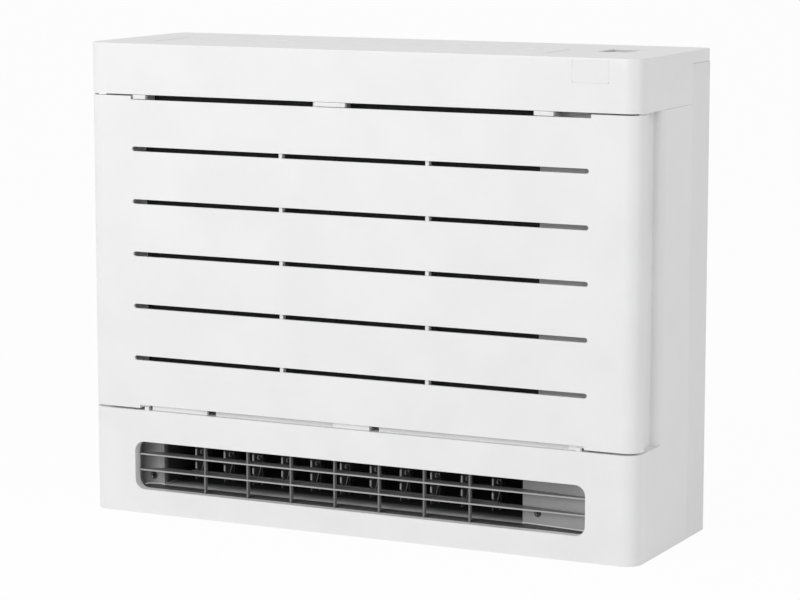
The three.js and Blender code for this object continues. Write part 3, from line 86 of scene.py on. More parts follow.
class CabinetSettings(bpy.types.PropertyGroup):
    """Finish of the cabinet's casings, the front panel and the small pieces on them"""

    cabinet: colour("Cabinet", "White of the cabinet, the panel and the flap", (0.86, 0.86, 0.86))
    rear: colour("Rear casing", "White of the rear casing and the inner mouldings", (0.85, 0.85, 0.85))
    window: colour("Window", "Tint of the display window and the power button", (0.86, 0.86, 0.86))
    # Painted shade: the recess round the power button is darkened to this grey.
    tray: colour("Button tray", "Grey of the recess round the power button", (0.62, 0.62, 0.62))
    edge_radius: length("Edge radius", "Rounding of the casings' outer edges", 0.0008)
    grain: length("Grain", "Size of the moulded grain", 0.0011)


class OutletSettings(bpy.types.PropertyGroup):
    """Finish of the outlets, with the greys that paint shade and light in them"""

    grille: colour("Grille edge", "Grey of the front edges of the outlet grille", (0.42, 0.42, 0.42))
    # Painted shade: the ribs and the bars behind their front edges are darkened to this grey.
    grille_shade: colour("Grille shade", "Grey of the ribs and behind the bars' edges", (0.17, 0.17, 0.172))
    surround: colour("Surround", "Grey of the surround inside the lower outlet", (0.36, 0.36, 0.36))
    # Painted light: a pale band on the duct's floor just behind the surround.
    lip_light: colour("Lit lip", "Pale grey of the duct's floor just behind the surround", (0.80, 0.80, 0.80))
    # Painted shade: the left end of the surround is darkened to this grey.
    reveal: colour("Reveal shade", "Darker grey at the left end of the surround", (0.10, 0.10, 0.10))
    # Painted shade: the dark band along the bottom of the surround and of the grille's ring.
    sill_shade: colour("Sill shade", "Dark grey along the bottom of the surround", (0.07, 0.07, 0.072))
    # Also used as painted shade that darkens the lower duct deeper inside its mouth.
    duct: colour("Duct", "Dark grey of the ducts", (0.045, 0.045, 0.047))
    louver: colour("Louvers", "Dark grey of the louvers", (0.09, 0.09, 0.092))
    # Painted highlight: the pale grey of the louvers' front beads, bosses' rims and slanted ribs; the tie
    # bars take 0.6 of it.
    louver_highlight: colour("Louver highlight", "Grey of the louvers' front beads and bosses", (0.72, 0.72, 0.72))
    bead_radius: length("Bead radius", "Radius of the bead along a louver's front edge", 0.0012)
    boss_radius: length("Boss radius", "Radius of the round bosses on the louvers", 0.0030)
    edge_radius: length("Edge radius", "Rounding of the louvers' edges", 0.0004)


class InnerSettings(bpy.types.PropertyGroup):
    """Finish of the filters, the heat exchanger, the fan and the electrics"""

    filter_net: colour("Filter net", "Colour of the filters", (0.011, 0.0115, 0.012))
    foil: colour("Fins", "Colour of the aluminium fins", (0.62, 0.64, 0.66))
    copper: colour("Copper", "Colour of the tubes", (0.68, 0.33, 0.17))
    brass: colour("Brass", "Colour of the flare nuts", (0.70, 0.50, 0.20))
    zinc: colour("Zinc", "Colour of the coated sheet steel", (0.52, 0.54, 0.56))
    board: colour("Boards", "Green of the circuit boards", (0.03, 0.16, 0.07))
    # Painted shade: black standing in for the shade inside the screws' pockets and cross recesses.
    pocket_shade: colour("Pocket shade", "Black of the screws' pockets", (0.02, 0.02, 0.021))
    foam: colour("Deodorising foam", "Colour of the deodorising cartridge", (0.42, 0.50, 0.52))
    fin_pitch: length("Fin pitch", "Distance between fins", 0.0032)
    net_pitch: length("Net pitch", "Distance between the filters' threads", 0.0016)


class StudioSettings(bpy.types.PropertyGroup):
    """Floor, lights and camera"""

    floor: colour("Floor", "Pale floor", (0.82, 0.82, 0.82))
    key_power: power("Key light", "Power of the front light", 66)
    fill_power: power("Fill light", "Power of the side light", 21)
    top_power: power("Top light", "Power of the overhead light", 2)
    floor_glow: FloatProperty(
        name="Floor glow",
        description="Share of the floor that shows as plain white",
        default=0.96,
        min=0,
        max=1,
    )
    sky: FloatProperty(name="Sky", description="Strength of the even light all round", default=0.55, min=0)
    lens: FloatProperty(
        name="Lens", description="Focal length of the camera", default=131.527, subtype="DISTANCE_CAMERA"
    )


# ---------------------------------------------------------------- materials


class Shading:
    """Lays out a material's nodes, each fed from those before it."""

    def __init__(self, name):
        self.material = bpy.data.materials.new(name)
        self.material.use_nodes = True
        self.tree = self.material.node_tree
        self.shader = self.tree.nodes["Principled BSDF"]
        self.coordinates = self.tree.nodes.new("ShaderNodeTexCoord").outputs["Object"]

    def add(self, kind, inputs=None, **settings):
        """A node with its properties set and its inputs linked or set."""
        node = self.tree.nodes.new(kind)
        for key, value in settings.items():
            setattr(node, key, value)
        for key, value in (inputs or {}).items():
            if isinstance(value, bpy.types.NodeSocket):
                self.tree.links.new(value, node.inputs[key])
            else:
                node.inputs[key].default_value = value
        return node

    def noise(self, size, detail=2.0, stretch=(1, 1, 1)):
        """Noise with features of about `size` metres."""
        mapping = self.add("ShaderNodeMapping", {"Vector": self.coordinates, "Scale": stretch})
        inputs = {"Vector": mapping.outputs["Vector"], "Scale": 1 / size, "Detail": detail}
        return self.add("ShaderNodeTexNoise", inputs).outputs["Fac"]

    def bands(self, pitch, axis):
        """Smooth stripes across one axis, `pitch` metres apart."""
        inputs = {"Vector": self.coordinates, "Scale": math.pi * 2 / (20 * pitch)}
        return self.add("ShaderNodeTexWave", inputs, bands_direction=axis).outputs["Fac"]

    def ramp(self, value, low, high, from_low=0.35, from_high=0.65):
        """`value` carried from one range to another."""
        inputs = {"Value": value, "From Min": from_low, "From Max": from_high, "To Min": low, "To Max": high}
        return self.add("ShaderNodeMapRange", inputs).outputs["Result"]

    def mix(self, factor, first, second):
        """A colour between two others."""
        node = self.add("ShaderNodeMix", data_type="RGBA")
        self.tree.links.new(factor, node.inputs["Factor"])
        for socket, value in ((node.inputs[6], first), (node.inputs[7], second)):
            if isinstance(value, bpy.types.NodeSocket):
                self.tree.links.new(value, socket)
            else:
                socket.default_value = (*value, 1)
        return node.outputs[2]

    def bump(self, height, depth, strength=1.0):
        """A normal raised by `height`, up to `depth` metres."""
        inputs = {"Height": height, "Distance": depth, "Strength": strength}
        return self.add("ShaderNodeBump", inputs).outputs["Normal"]

    def finish(self, **sockets):
        """Sets or links the shader's sockets and gives the material."""
        for key, value in sockets.items():
            socket = self.shader.inputs[key.replace("_", " ")]
            if isinstance(value, bpy.types.NodeSocket):
                self.tree.links.new(value, socket)
            elif socket.type == "RGBA":
                socket.default_value = (*value, 1)
            else:
                socket.default_value = value
        return self.material


def tinted(base, factor):
    """A colour made a little darker or lighter."""
    return tuple(min(1.0, channel * factor) for channel in base)


def moulded(name, base, roughness, grain, depth=0.00002, spread=0.025, coat=0.0):
    """Moulded plastic: a fine pebble grain, faint flow clouds and slight changes of gloss."""
    s = Shading(name)
    clouds = s.noise(0.09, 3.0)
    pebbles = s.noise(grain, 2.0)
    return s.finish(
        Base_Color=s.mix(s.ramp(clouds, 0, 1), tinted(base, 1 - spread), tinted(base, 1 + spread / 3)),
        Roughness=s.ramp(clouds, roughness - 0.03, roughness + 0.04),
        Normal=s.bump(pebbles, depth, 0.35),
        Coat_Weight=coat,
        Coat_Roughness=0.25,
    )


def zoned(name, front, zones, roughness, grain):
    """Moulded plastic in zones of painted shade and painted light.

    Each zone is a colour and one or more (axis, from, to) across which it takes over.
    """
    s = Shading(name)
    place = s.add("ShaderNodeSeparateXYZ", {"Vector": s.coordinates})
    shade = front
    for behind, *borders in zones:
        share = None
        for axis, start, end in borders:
            rising = start < end
            span = (0, 1, start, end) if rising else (1, 0, end, start)
            here = s.ramp(place.outputs[axis], *span)
            both = {0: here, 1: here if share is None else share}
            share = s.add("ShaderNodeMath", both, operation="MINIMUM").outputs["Value"]
        shade = s.mix(share, shade, behind)
    clouds = s.ramp(s.noise(0.05, 3.0), 0.94, 1.04)
    toned = s.add("ShaderNodeHueSaturation", {"Color": shade, "Value": clouds})
    return s.finish(
        Base_Color=toned.outputs["Color"],
        Roughness=s.ramp(s.noise(0.03), roughness - 0.04, roughness + 0.05),
        Normal=s.bump(s.noise(grain, 2.0), 0.00002, 0.35),
    )


def brushed(name, base, roughness, direction=(1, 1, 30)):
    """Rolled or drawn metal with fine lines along one way and soft stains."""
    s = Shading(name)
    lines = s.noise(0.004, 4.0, direction)
    stains = s.noise(0.05, 3.0)
    return s.finish(
        Base_Color=s.mix(s.ramp(stains, 0, 1), tinted(base, 0.86), base),
        Metallic=1.0,
        Roughness=s.ramp(lines, roughness - 0.08, roughness + 0.1),
        Normal=s.bump(lines, 0.00002, 0.3),
    )


def woven_net(name, base, pitch):
    """Fine filter net: two sets of threads, lighter where they stand proud."""
    s = Shading(name)
    across = s.bands(pitch, "X")
    upright = s.bands(pitch, "Z")
    threads = s.add("ShaderNodeMath", {0: across, 1: upright}, operation="MAXIMUM").outputs["Value"]
    dust = s.noise(0.05, 4.0)
    colours = s.mix(s.ramp(threads, 0, 1, 0.55, 0.9), tinted(base, 0.3), tinted(base, 2.4))
    return s.finish(
        Base_Color=s.mix(s.ramp(dust, 0, 0.25), colours, tinted(base, 4)),
        Roughness=s.ramp(threads, 0.75, 0.5),
        Normal=s.bump(threads, 0.0004, 0.8),
    )


def lacquered_board(name, base):
    """Circuit board lacquer over faint copper tracks."""
    s = Shading(name)
    inputs = {"Vector": s.coordinates, "Scale": 160.0}
    tracks = s.add("ShaderNodeTexVoronoi", inputs, feature="DISTANCE_TO_EDGE")
    edge = s.ramp(tracks.outputs["Distance"], 1, 0, 0.03, 0.06)
    return s.finish(
        Base_Color=s.mix(edge, base, tinted(base, 1.7)),
        Roughness=0.35,
        Normal=s.bump(edge, 0.00005, 0.5),
    )


def pleated_foam(name, base):
    """Soft deodorising fibre with an open, speckled surface."""
    s = Shading(name)
    fibres = s.noise(0.0012, 6.0)
    return s.finish(
        Base_Color=s.mix(s.ramp(fibres, 0, 1), tinted(base, 0.6), tinted(base, 1.15)),
        Roughness=0.95,
        Normal=s.bump(fibres, 0.0006, 0.9),
    )


# ---------------------------------------------------------------- shared shaping


def edge_shading():
    """Geometry nodes that join split corners and shade only gentle bends as smooth."""
    name = "Edge shading"
    if name in bpy.data.node_groups:
        return bpy.data.node_groups[name]
    group = bpy.data.node_groups.new(name, "GeometryNodeTree")
    group.interface.new_socket("Geometry", in_out="INPUT", socket_type="NodeSocketGeometry")
    group.interface.new_socket("Geometry", in_out="OUTPUT", socket_type="NodeSocketGeometry")
    nodes, link = group.nodes, group.links.new
    start = nodes.new("NodeGroupInput")
    end = nodes.new("NodeGroupOutput")
    weld = nodes.new("GeometryNodeMergeByDistance")
    weld.inputs["Distance"].default_value = 0.000002
    angle = nodes.new("GeometryNodeInputMeshEdgeAngle")
    sharp = nodes.new("FunctionNodeCompare")
    sharp.inputs["B"].default_value = math.radians(34)
    normals = nodes.new("GeometryNodeSetMeshNormal")
    normals.inputs["Remove Custom"].default_value = True
    link(start.outputs[0], weld.inputs["Geometry"])
    link(angle.outputs["Unsigned Angle"], sharp.inputs["A"])
    link(weld.outputs["Geometry"], normals.inputs["Mesh"])
    link(sharp.outputs["Result"], normals.inputs["Edge Sharpness"])
    link(normals.outputs["Mesh"], end.inputs[0])
    return group


def soften(piece, radius=0.0):
    """Smooth shading on gentle bends and, with a radius, rounded edges."""
    shading = piece.modifiers.new("Edge shading", "NODES")
    shading.node_group = edge_shading()
    if radius:
        flats = piece.modifiers.new("Join flats", "DECIMATE")
        flats.decimate_type = "DISSOLVE"
        flats.angle_limit = math.radians(0.5)
        rounding = piece.modifiers.new("Edge radius", "BEVEL")
        rounding.width = radius
        rounding.segments = 2
        rounding.limit_method = "ANGLE"
        rounding.angle_limit = math.radians(40)
        rounding.harden_normals = True
        rounding.use_clamp_overlap = True
        level = piece.modifiers.new("Flat faces", "WEIGHTED_NORMAL")
        level.keep_sharp = True
        level.weight = 80


def paint(material, *names, radius=0.0):
    """Gives CAD nodes a finish and soft edges."""
    for name in names:
        piece = NODES[name]
        for slot in piece.material_slots:
            slot.material = material
        soften(piece, radius)


def finished(name, bm, materials, body):
    """An object from a bmesh, shaded, finished and riding on its body."""
    mesh = bpy.data.meshes.new(name)
    bm.normal_update()
    bm.to_mesh(mesh)
    bm.free()
    mesh.shade_smooth()
    mesh.set_sharp_from_angle(angle=math.radians(40))
    for material in materials:
        mesh.materials.append(material)
    piece = bpy.data.objects.new(name, mesh)
    bpy.context.scene.collection.objects.link(piece)
    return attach(piece, body)


def add_cylinder(bm, radius, start, end, sides=24, top_radius=None):
    """A capped round bar between two points."""
    start, end = Vector(start), Vector(end)
    along = end - start
    turn = along.to_track_quat("Z", "Y").to_matrix().to_4x4()
    place = Matrix.Translation((start + end) / 2) @ turn
    made = bmesh.ops.create_cone(
        bm,
        cap_ends=True,
        segments=sides,
        radius1=radius,
        radius2=radius if top_radius is None else top_radius,
        depth=along.length,
        matrix=place,
    )
    return made["verts"]


def add_prism(bm, outline, low, high, bevel):
    """A closed outline of (y, z) points pulled along X in an empty bmesh, with rounded edges."""
    face = bm.faces.new([bm.verts.new((low, y, z)) for y, z in outline])
    pulled = bmesh.ops.extrude_face_region(bm, geom=[face])
    raised = [item for item in pulled["geom"] if isinstance(item, bmesh.types.BMVert)]
    bmesh.ops.translate(bm, verts=raised, vec=Vector((high - low, 0, 0)))
    bmesh.ops.recalc_face_normals(bm, faces=bm.faces[:])
    edges = [edge for edge in bm.edges if edge.calc_face_angle(0) > math.radians(50)]
    bmesh.ops.bevel(bm, geom=edges, offset=bevel, segments=2, affect="EDGES", profile=0.5)


def add_bead(bm, radius, start, end, sides=10):
    """A slim round bead between two points with rounded ends."""
    start, end = Vector(start), Vector(end)
    along = (end - start).normalized() * radius * 0.6
    add_cylinder(bm, radius, start + along, end - along, sides)
    add_cylinder(bm, radius * 0.45, start, start + along, sides, top_radius=radius)
    add_cylinder(bm, radius, end - along, end, sides, top_radius=radius * 0.45)


def rounded_loop(u0, u1, v0, v1, radius, steps):
    """Points round a rectangle with rounded corners."""
    corners = ((u1 - radius, v0 + radius, -90), (u1 - radius, v1 - radius, 0))
    corners += ((u0 + radius, v1 - radius, 90), (u0 + radius, v0 + radius, 180))
    return [point for u, v, turn in corners for point in arc(u, v, radius, turn, turn + 90, steps)]


def arc(cu, cv, radius, start, end, steps):
    """Points of an arc, angles in degrees."""
    for i in range(steps + 1):
        angle = math.radians(start + (end - start) * i / steps)
        yield cu + radius * math.cos(angle), cv + radius * math.sin(angle)


# ---------------------------------------------------------------- operators


class FinishCabinet(bpy.types.Operator):
    """Moulded white finish for the casings and their small pieces"""

    bl_idname = "aircon.finish_cabinet"
    bl_label = "Finish Cabinet"

    def execute(self, context):
        look = context.scene.cabinet_settings
        white = moulded("Cabinet white", look.cabinet, 0.42, look.grain, coat=0.06)
        rear = moulded("Rear white", look.rear, 0.5, look.grain, depth=0.00003)
        window = moulded("Window tint", look.window, 0.22, look.grain * 4, depth=0.000005, coat=0.3)
        # Painted shade: the button tray's grey stands for the shade in its recess.
        tray = moulded("Tray shade grey", look.tray, 0.5, look.grain)
        zinc = brushed("Bracket zinc", context.scene.inner_settings.zinc, 0.38, (1, 1, 12))
        paint(white, "front_casing", "top_cover", "front_panel", "top_flap", radius=look.edge_radius)
        paint(white, "intake_frame", "panel_latch_left", "panel_latch_right", radius=look.edge_radius / 2)
        paint(rear, "rear_casing", radius=look.edge_radius)
        paint(window, "display_window", "power_button", radius=look.edge_radius / 2)
        paint(tray, "button_tray", radius=look.edge_radius / 2)
        paint(zinc, "wall_bracket", radius=look.edge_radius / 3)
        return {"FINISHED"}


class FinishOutlets(bpy.types.Operator):
    """Grey finishes for the ducts, the grille, the damper, the upper louvers and the tie bars, with painted
    shade and painted light in zones of the grille and the lower duct
    """

    bl_idname = "aircon.finish_outlets"
    bl_label = "Finish Outlets"

    def execute(self, context):
        look = context.scene.outlet_settings
        surround_depth = 10.4 * MM
        floor_rise = 21.4 * MM
        rim = 9 * MM
        bar_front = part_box("outlet_grille")[0][1]
        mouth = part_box("lower_duct")[0][1] + surround_depth
        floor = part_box("lower_duct")[0][2] + floor_rise
        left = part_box("outlet_grille")[0][0] + rim
        low = ("Z", floor + 0.3 * MM, floor)
        lit_lip_low = ("Z", floor + 1.6 * MM, floor + 1.2 * MM)
        # Painted shade: deeper than the bars' front edges the grille, ribs included, turns to the darker
        # grey.
        ribs = (look.grille_shade, ("Y", bar_front + 0.5 * MM, bar_front + 0.9 * MM))
        # Painted shade: a dark band along the bottom of the grille's ring, behind the bars' front edges.
        ring_low = ("Z", floor + 1.0 * MM, floor + 0.6 * MM)
        ring = (look.sill_shade, ring_low, ("Y", bar_front + 1.6 * MM, bar_front + 2 * MM))
        grille = zoned("Grille grey", look.grille, [ribs, ring], 0.42, 0.0009)
        depths = [
            # Painted shade: darker towards the left end of the surround.
            (look.reveal, ("X", left + 20 * MM, left + 2 * MM)),
            # Painted shade: darker deeper inside the duct's mouth.
            (look.duct, ("Y", mouth + 1 * MM, mouth + 12 * MM)),
            # Painted light: the duct's floor is pale low down, just behind its mouth.
            (look.lip_light, lit_lip_low, ("Y", mouth + 34 * MM, mouth + 8 * MM)),
            # Painted shade: dark along the bottom of the surround, in front of the duct's mouth.
            (look.sill_shade, low, ("Y", mouth, mouth - 0.4 * MM)),
        ]
        lower = zoned("Lower duct grey", look.surround, depths, 0.5, 0.0012)
        duct = moulded("Duct grey", look.duct, 0.5, 0.0012, depth=0.00003)
        louver = moulded("Louver grey", look.louver, 0.42, 0.0009)
        bar = moulded("Tie bar grey", tinted(look.louver_highlight, 0.6), 0.42, 0.0009)
        paint(grille, "outlet_grille", radius=0.00035)
        paint(lower, "lower_duct")
        paint(duct, "upper_duct", "lower_damper")
        paint(bar, "upper_tie_bar", "lower_tie_bar", radius=look.edge_radius)
        for name in NODES:
            if name.startswith("upper_louver_") and name[-1].isdigit():
                paint(louver, name, radius=look.edge_radius)
        return {"FINISHED"}


class BuildLowerLouvers(bpy.types.Operator):
    """Upright louvers of the lower outlet with front beads, bosses and a slanted rib; the beads, the bosses'
    rims and the rib take a pale grey that paints their highlights
    """

    bl_idname = "aircon.build_lower_louvers"
    bl_label = "Build Lower Louvers"

    def execute(self, context):
        look = context.scene.outlet_settings
        blade = moulded("Louver dark", look.louver, 0.4, 0.0009)
        # Painted highlight: the pale grey of the beads, the bosses' rims and the slanted rib.
        edge = moulded("Louver bead highlight", look.louver_highlight, 0.35, 0.0009)
        names = [name for name in NODES if name.startswith("lower_louver_") and name[-1].isdigit()]
        if len(names) != 11:
            raise RuntimeError("the frame doesn't hold the eleven lower louvers")
        for name in names:
            self.louver(name, look, [blade, edge])
        return {"FINISHED"}

    def louver(self, name, look, materials):
        """One louver in the place of its node."""
        pin_length = 5 * MM
        pivot_depth = 24 * MM
        half_thickness = 0.9 * MM
        pivot_radius = 2 * MM
        link_radius = 1.5 * MM
        link_depth = 4 * MM
        notch_depth = 10 * MM
        corner = 8 * MM
        boss_drop = 17 * MM
        bosses = ((12.5 * MM, look.boss_radius), (21 * MM, look.boss_radius * 0.5))
        low, high = (Vector(point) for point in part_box(name))
        x = (low.x + high.x) / 2
        bottom, top = low.z + pin_length, high.z - pin_length
        front, back = low.y, high.y
        bar_low, bar_high = bottom + 6 * MM, bottom + 14 * MM
        split_low, split_high = top - 28 * MM, top - 22 * MM
        outline = [
            (front, bottom),
            (front, bar_low),
            (front + notch_depth, bar_low),
            (front + notch_depth, bar_high),
            (front, bar_high),
            (front, split_low),
            (front + 3 * MM, (split_low + split_high) / 2),
            (front, split_high),
            (front, top - 12 * MM),
            *arc(front + corner, top - corner, corner, 160, 90, 5),
            (back - 4 * MM, top),
            (back, top - 10 * MM),
            (back, bottom + 5 * MM),
            (back - 5 * MM, bottom),
        ]
        bm = bmesh.new()
        add_prism(bm, outline, x - half_thickness, x + half_thickness, look.edge_radius)
        pivot, link = front + pivot_depth, front + link_depth
        add_cylinder(bm, pivot_radius, (x, pivot, low.z), (x, pivot, high.z), 16)
        add_cylinder(bm, link_radius, (x, link, bar_low - 0.5 * MM), (x, link, bar_high + 0.5 * MM), 12)
        # The bosses' cores stay dark grey; their rims, added after, take the painted highlight.
        cores = [(depth, radius * 0.72) for depth, radius in bosses]
        self.bosses(bm, x, front, top - boss_drop, 2.6 * MM, cores)
        dark = set(bm.faces)
        self.bosses(bm, x, front, top - boss_drop, 2.3 * MM, bosses)
        bead = look.bead_radius
        edge = front + bead * 0.6
        for z0, z1 in ((split_high, top - 11 * MM), (bar_high + 0.4 * MM, split_low - 0.5 * MM)):
            add_bead(bm, bead, (x, edge, z0), (x, edge, z1))
        side = x + half_thickness
        foot, head = (side, front + 11 * MM, bottom + 8 * MM), (side, front + 20 * MM, bottom + 23 * MM)
        add_bead(bm, 0.8 * MM, foot, head)
        # Beads, bosses' rims and the slanted rib take the painted highlight; the blade, the pins and the
        # bosses' cores keep the dark grey.
        for face in bm.faces:
            face.material_index = 0 if face in dark else 1
        body = name.replace("louver", "blade")
        piece = finished(f"{name}_shaped", bm, materials, body)
        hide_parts(name)

    def bosses(self, bm, x, front, z, reach, sizes):
        """Round bosses through the louver, each given by its depth and its radius."""
        for depth, radius in sizes:
            start, end = ((x + side * reach, front + depth, z) for side in (-1, 1))
            add_cylinder(bm, radius, start, end, 20)


class BuildFins(bpy.types.Operator):
    """Dense stack of foil fins with the tubes that run through it"""

    bl_idname = "aircon.build_fins"
    bl_label = "Build Fins"

    def execute(self, context):
        look = context.scene.inner_settings
        thickness = 0.3 * MM
        margin = 0.2 * MM
        rows = 14
        row_depths = (23 * MM, 8 * MM)
        low, high = (Vector(point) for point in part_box("fin_pack"))
        middle, size = (low + high) / 2, high - low
        bm = bmesh.new()
        width = high.x - low.x
        count = int(width / look.fin_pitch)
        pitch = (width - 2 * margin) / count
        fin = Matrix.Diagonal((thickness, size.y, size.z, 1))
        for i in range(count + 1):
            place = Matrix.Translation((low.x + i * pitch + margin, middle.y, middle.z))
            bmesh.ops.create_cube(bm, size=1, matrix=place @ fin)
        foil = set(bm.faces)
        for i in range(rows):
            y = low.y + row_depths[i % 2]
            z = low.z + size.z * (i + 0.5) / rows
            add_cylinder(bm, 4 * MM, (low.x, y, z), (high.x, y, z), 16)
        for face in bm.faces:
            face.material_index = 0 if face in foil else 1
        foil_finish = brushed("Fin foil", look.foil, 0.35, (1, 1, 40))
        finishes = [foil_finish, brushed("Tube copper", look.copper, 0.3)]
        stack = finished("fin_stack", bm, finishes, "cabinet")
        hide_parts("fin_pack")
        return {"FINISHED"}


class BuildGapTabs(bpy.types.Operator):
    """Caps of the latches, the centre hook and the ledge that show in the gaps round the front panel"""

    bl_idname = "aircon.build_gap_tabs"
    bl_label = "Build Gap Tabs"

    def execute(self, context):
        white = bpy.data.materials["Cabinet white"]
        cap_height = 5.2 * MM
        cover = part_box("top_cover")[0]
        front = cover[1] + 0.3 * MM
        top = cover[2] - 0.5 * MM
        upper = (top - cap_height, top)
        for side, inset in (("left", (8 * MM, 0)), ("right", (0, 1 * MM))):
            low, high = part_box(f"panel_latch_{side}")
            box = (low[0] + inset[0], high[0] - inset[1], front, low[1] + 1 * MM, *upper)
            self.cap(f"latch_cap_{side}", box, f"latch_{side}", white)
        self.cap("hook_cap", (-51.5 * MM, -9.5 * MM, front, -112 * MM, *upper), "cabinet", white)
        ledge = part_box("front_panel")[0][2] - 2.4 * MM
        ends = {"left": (-288, -208), "middle": (-29, 21), "right": (286, 303)}
        for side, (x0, x1) in ends.items():
            box = (x0 * MM, x1 * MM, -114.8 * MM, -111.4 * MM, ledge, ledge + 6.3 * MM)
            self.cap(f"ledge_cap_{side}", box, "cabinet", white)
        return {"FINISHED"}

    def cap(self, name, box, body, material):
        """A small rounded cap with a shallow finger groove along its front."""
        x0, x1, y0, y1, z0, z1 = box
        groove = 0.35 * MM
        edge = 0.3 * MM
        middle = (z0 + z1) / 2
        outline = [
            (y0, z0),
            (y0, middle - 2 * groove),
            (y0 + groove, middle - groove),
            (y0 + groove, middle + groove),
            (y0, middle + 2 * groove),
            (y0, z1),
            (y1, z1),
            (y1, z0),
        ]
        bm = bmesh.new()
        add_prism(bm, outline, x0, x1, edge)
        finished(name, bm, [material], body)


class BuildTrim(bpy.types.Operator):
    """Gasket of the display window and screws of the lower outlet"""

    bl_idname = "aircon.build_trim"
    bl_label = "Build Trim"

    def execute(self, context):
        look = context.scene.inner_settings
        self.gasket(bpy.data.materials["Cabinet white"])
        zinc = brushed("Screw zinc", tinted(look.zinc, 0.3), 0.3, (1, 1, 6))
        # Painted shade: black for the screws' pockets and cross recesses; the heads are zinc darkened to
        # 0.3.
        pocket_shade = moulded("Screw hollow", look.pocket_shade, 0.5, 0.001)
        screws = {"right": (0.2385, -0.0958, 0.048), "left": (-0.2998, -0.0955, 0.0447)}
        for side, centre in screws.items():
            self.screw(f"outlet_screw_{side}", Vector(centre), zinc, pocket_shade)
        return {"FINISHED"}

    def gasket(self, material):
        """Thin frame that fills the joint round the display window, just below its face."""
        joint = 0.3 * MM
        flange = 2 * MM
        corner = 2 * MM
        low, high = (Vector(point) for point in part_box("display_window"))
        x0, x1 = low.x + flange - joint, high.x - flange + joint
        z0, z1 = low.z + flange - joint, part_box("top_cover")[1][2] - 3 * MM
        bm = bmesh.new()
        rings = []
        for grow in (0.0, -2 * joint):
            for y in (low.y + 0.25 * MM, low.y + 1.5 * MM):
                loop = rounded_loop(x0 - grow, x1 + grow, z0 - grow, z1 + grow, corner + grow, 5)
                rings.append([bm.verts.new((u, y, v)) for u, v in loop])
        order = [rings[0], rings[1], rings[3], rings[2]]
        for ring, after in zip(order, order[1:] + order[:1]):
            for i in range(len(ring)):
                k = (i + 1) % len(ring)
                bm.faces.new((ring[i], ring[k], after[k], after[i]))
        bmesh.ops.recalc_face_normals(bm, faces=bm.faces[:])
        finished("window_gasket", bm, [material], "cabinet")

    def screw(self, name, centre, metal, pocket_shade):
        """A pan head screw with a cross recess, sunk in its pocket, facing the front; a black disc round the
        head and a black cross on it are painted shade for the pocket and the recess.
        """
        pocket_radius = 4.6 * MM
        head_radius = 3.2 * MM
        head_depth = Vector((0, 1.6 * MM, 0))
        rim = centre + Vector((0, 0.6 * MM, 0))
        bm = bmesh.new()
        # A black disc behind the head, painted shade for the pocket.
        made = add_cylinder(bm, pocket_radius, rim, rim + head_depth, 28)
        pocket = {face for vert in made for face in vert.link_faces}
        head = add_cylinder(bm, head_radius, centre, centre + head_depth, 28)
        for face in {face for vert in head for face in vert.link_faces}:
            if face.normal.y < -0.9:
                bmesh.ops.inset_region(bm, faces=[face], thickness=0.7 * MM, depth=-0.5 * MM)
                break
        place = Matrix.Translation(centre + Vector((0, -0.45 * MM, 0)))
        # A black cross on the head, painted shade for the cross recess.
        for width, height in ((4.4 * MM, 0.9 * MM), (0.9 * MM, 4.4 * MM)):
            bar = Matrix.Diagonal((width, 0.5 * MM, height, 1))
            made = bmesh.ops.create_cube(bm, size=1, matrix=place @ bar)
            pocket |= {face for vert in made["verts"] for face in vert.link_faces}
        for face in bm.faces:
            face.material_index = 1 if face in pocket else 0
        finished(name, bm, [metal, pocket_shade], "cabinet")


class FinishInner(bpy.types.Operator):
    """Finishes for the filters, heat exchanger, fan, motors and electrics"""

    bl_idname = "aircon.finish_inner"
    bl_label = "Finish Inner Pieces"

    def execute(self, context):
        look = context.scene.inner_settings
        rear = context.scene.cabinet_settings.rear
        paint(woven_net("Filter net", look.filter_net, look.net_pitch), "filter_left", "filter_right")
        paint(pleated_foam("Deodorising foam", look.foam), "deodorising_cartridge")
        copper = brushed("Drawn copper", look.copper, 0.3, (1, 1, 8))
        paint(copper, "return_bend_plate", "header_plate", "gas_pipe", "liquid_pipe")
        paint(brushed("Turned brass", look.brass, 0.25), "gas_flare_nut", "liquid_flare_nut")
        zinc = brushed("Sheet zinc", look.zinc, 0.4, (12, 1, 1))
        paint(zinc, "fan_motor", "fan_shaft", "fan_nut", "electrical_box", "electrical_cover")
        motor = moulded("Inner white", rear, 0.5, 0.0012)
        paint(motor, "drain_pan", "bell_mouth", "fan_wheel")
        paint(motor, "flap_motor", "upper_louver_motor", "lower_louver_motor", "damper_motor")
        paint(lacquered_board("Board lacquer", look.board), "display_board", "control_board")
        paint(moulded("Terminal black", look.filter_net, 0.5, 0.001), "terminal_block")
        return {"FINISHED"}


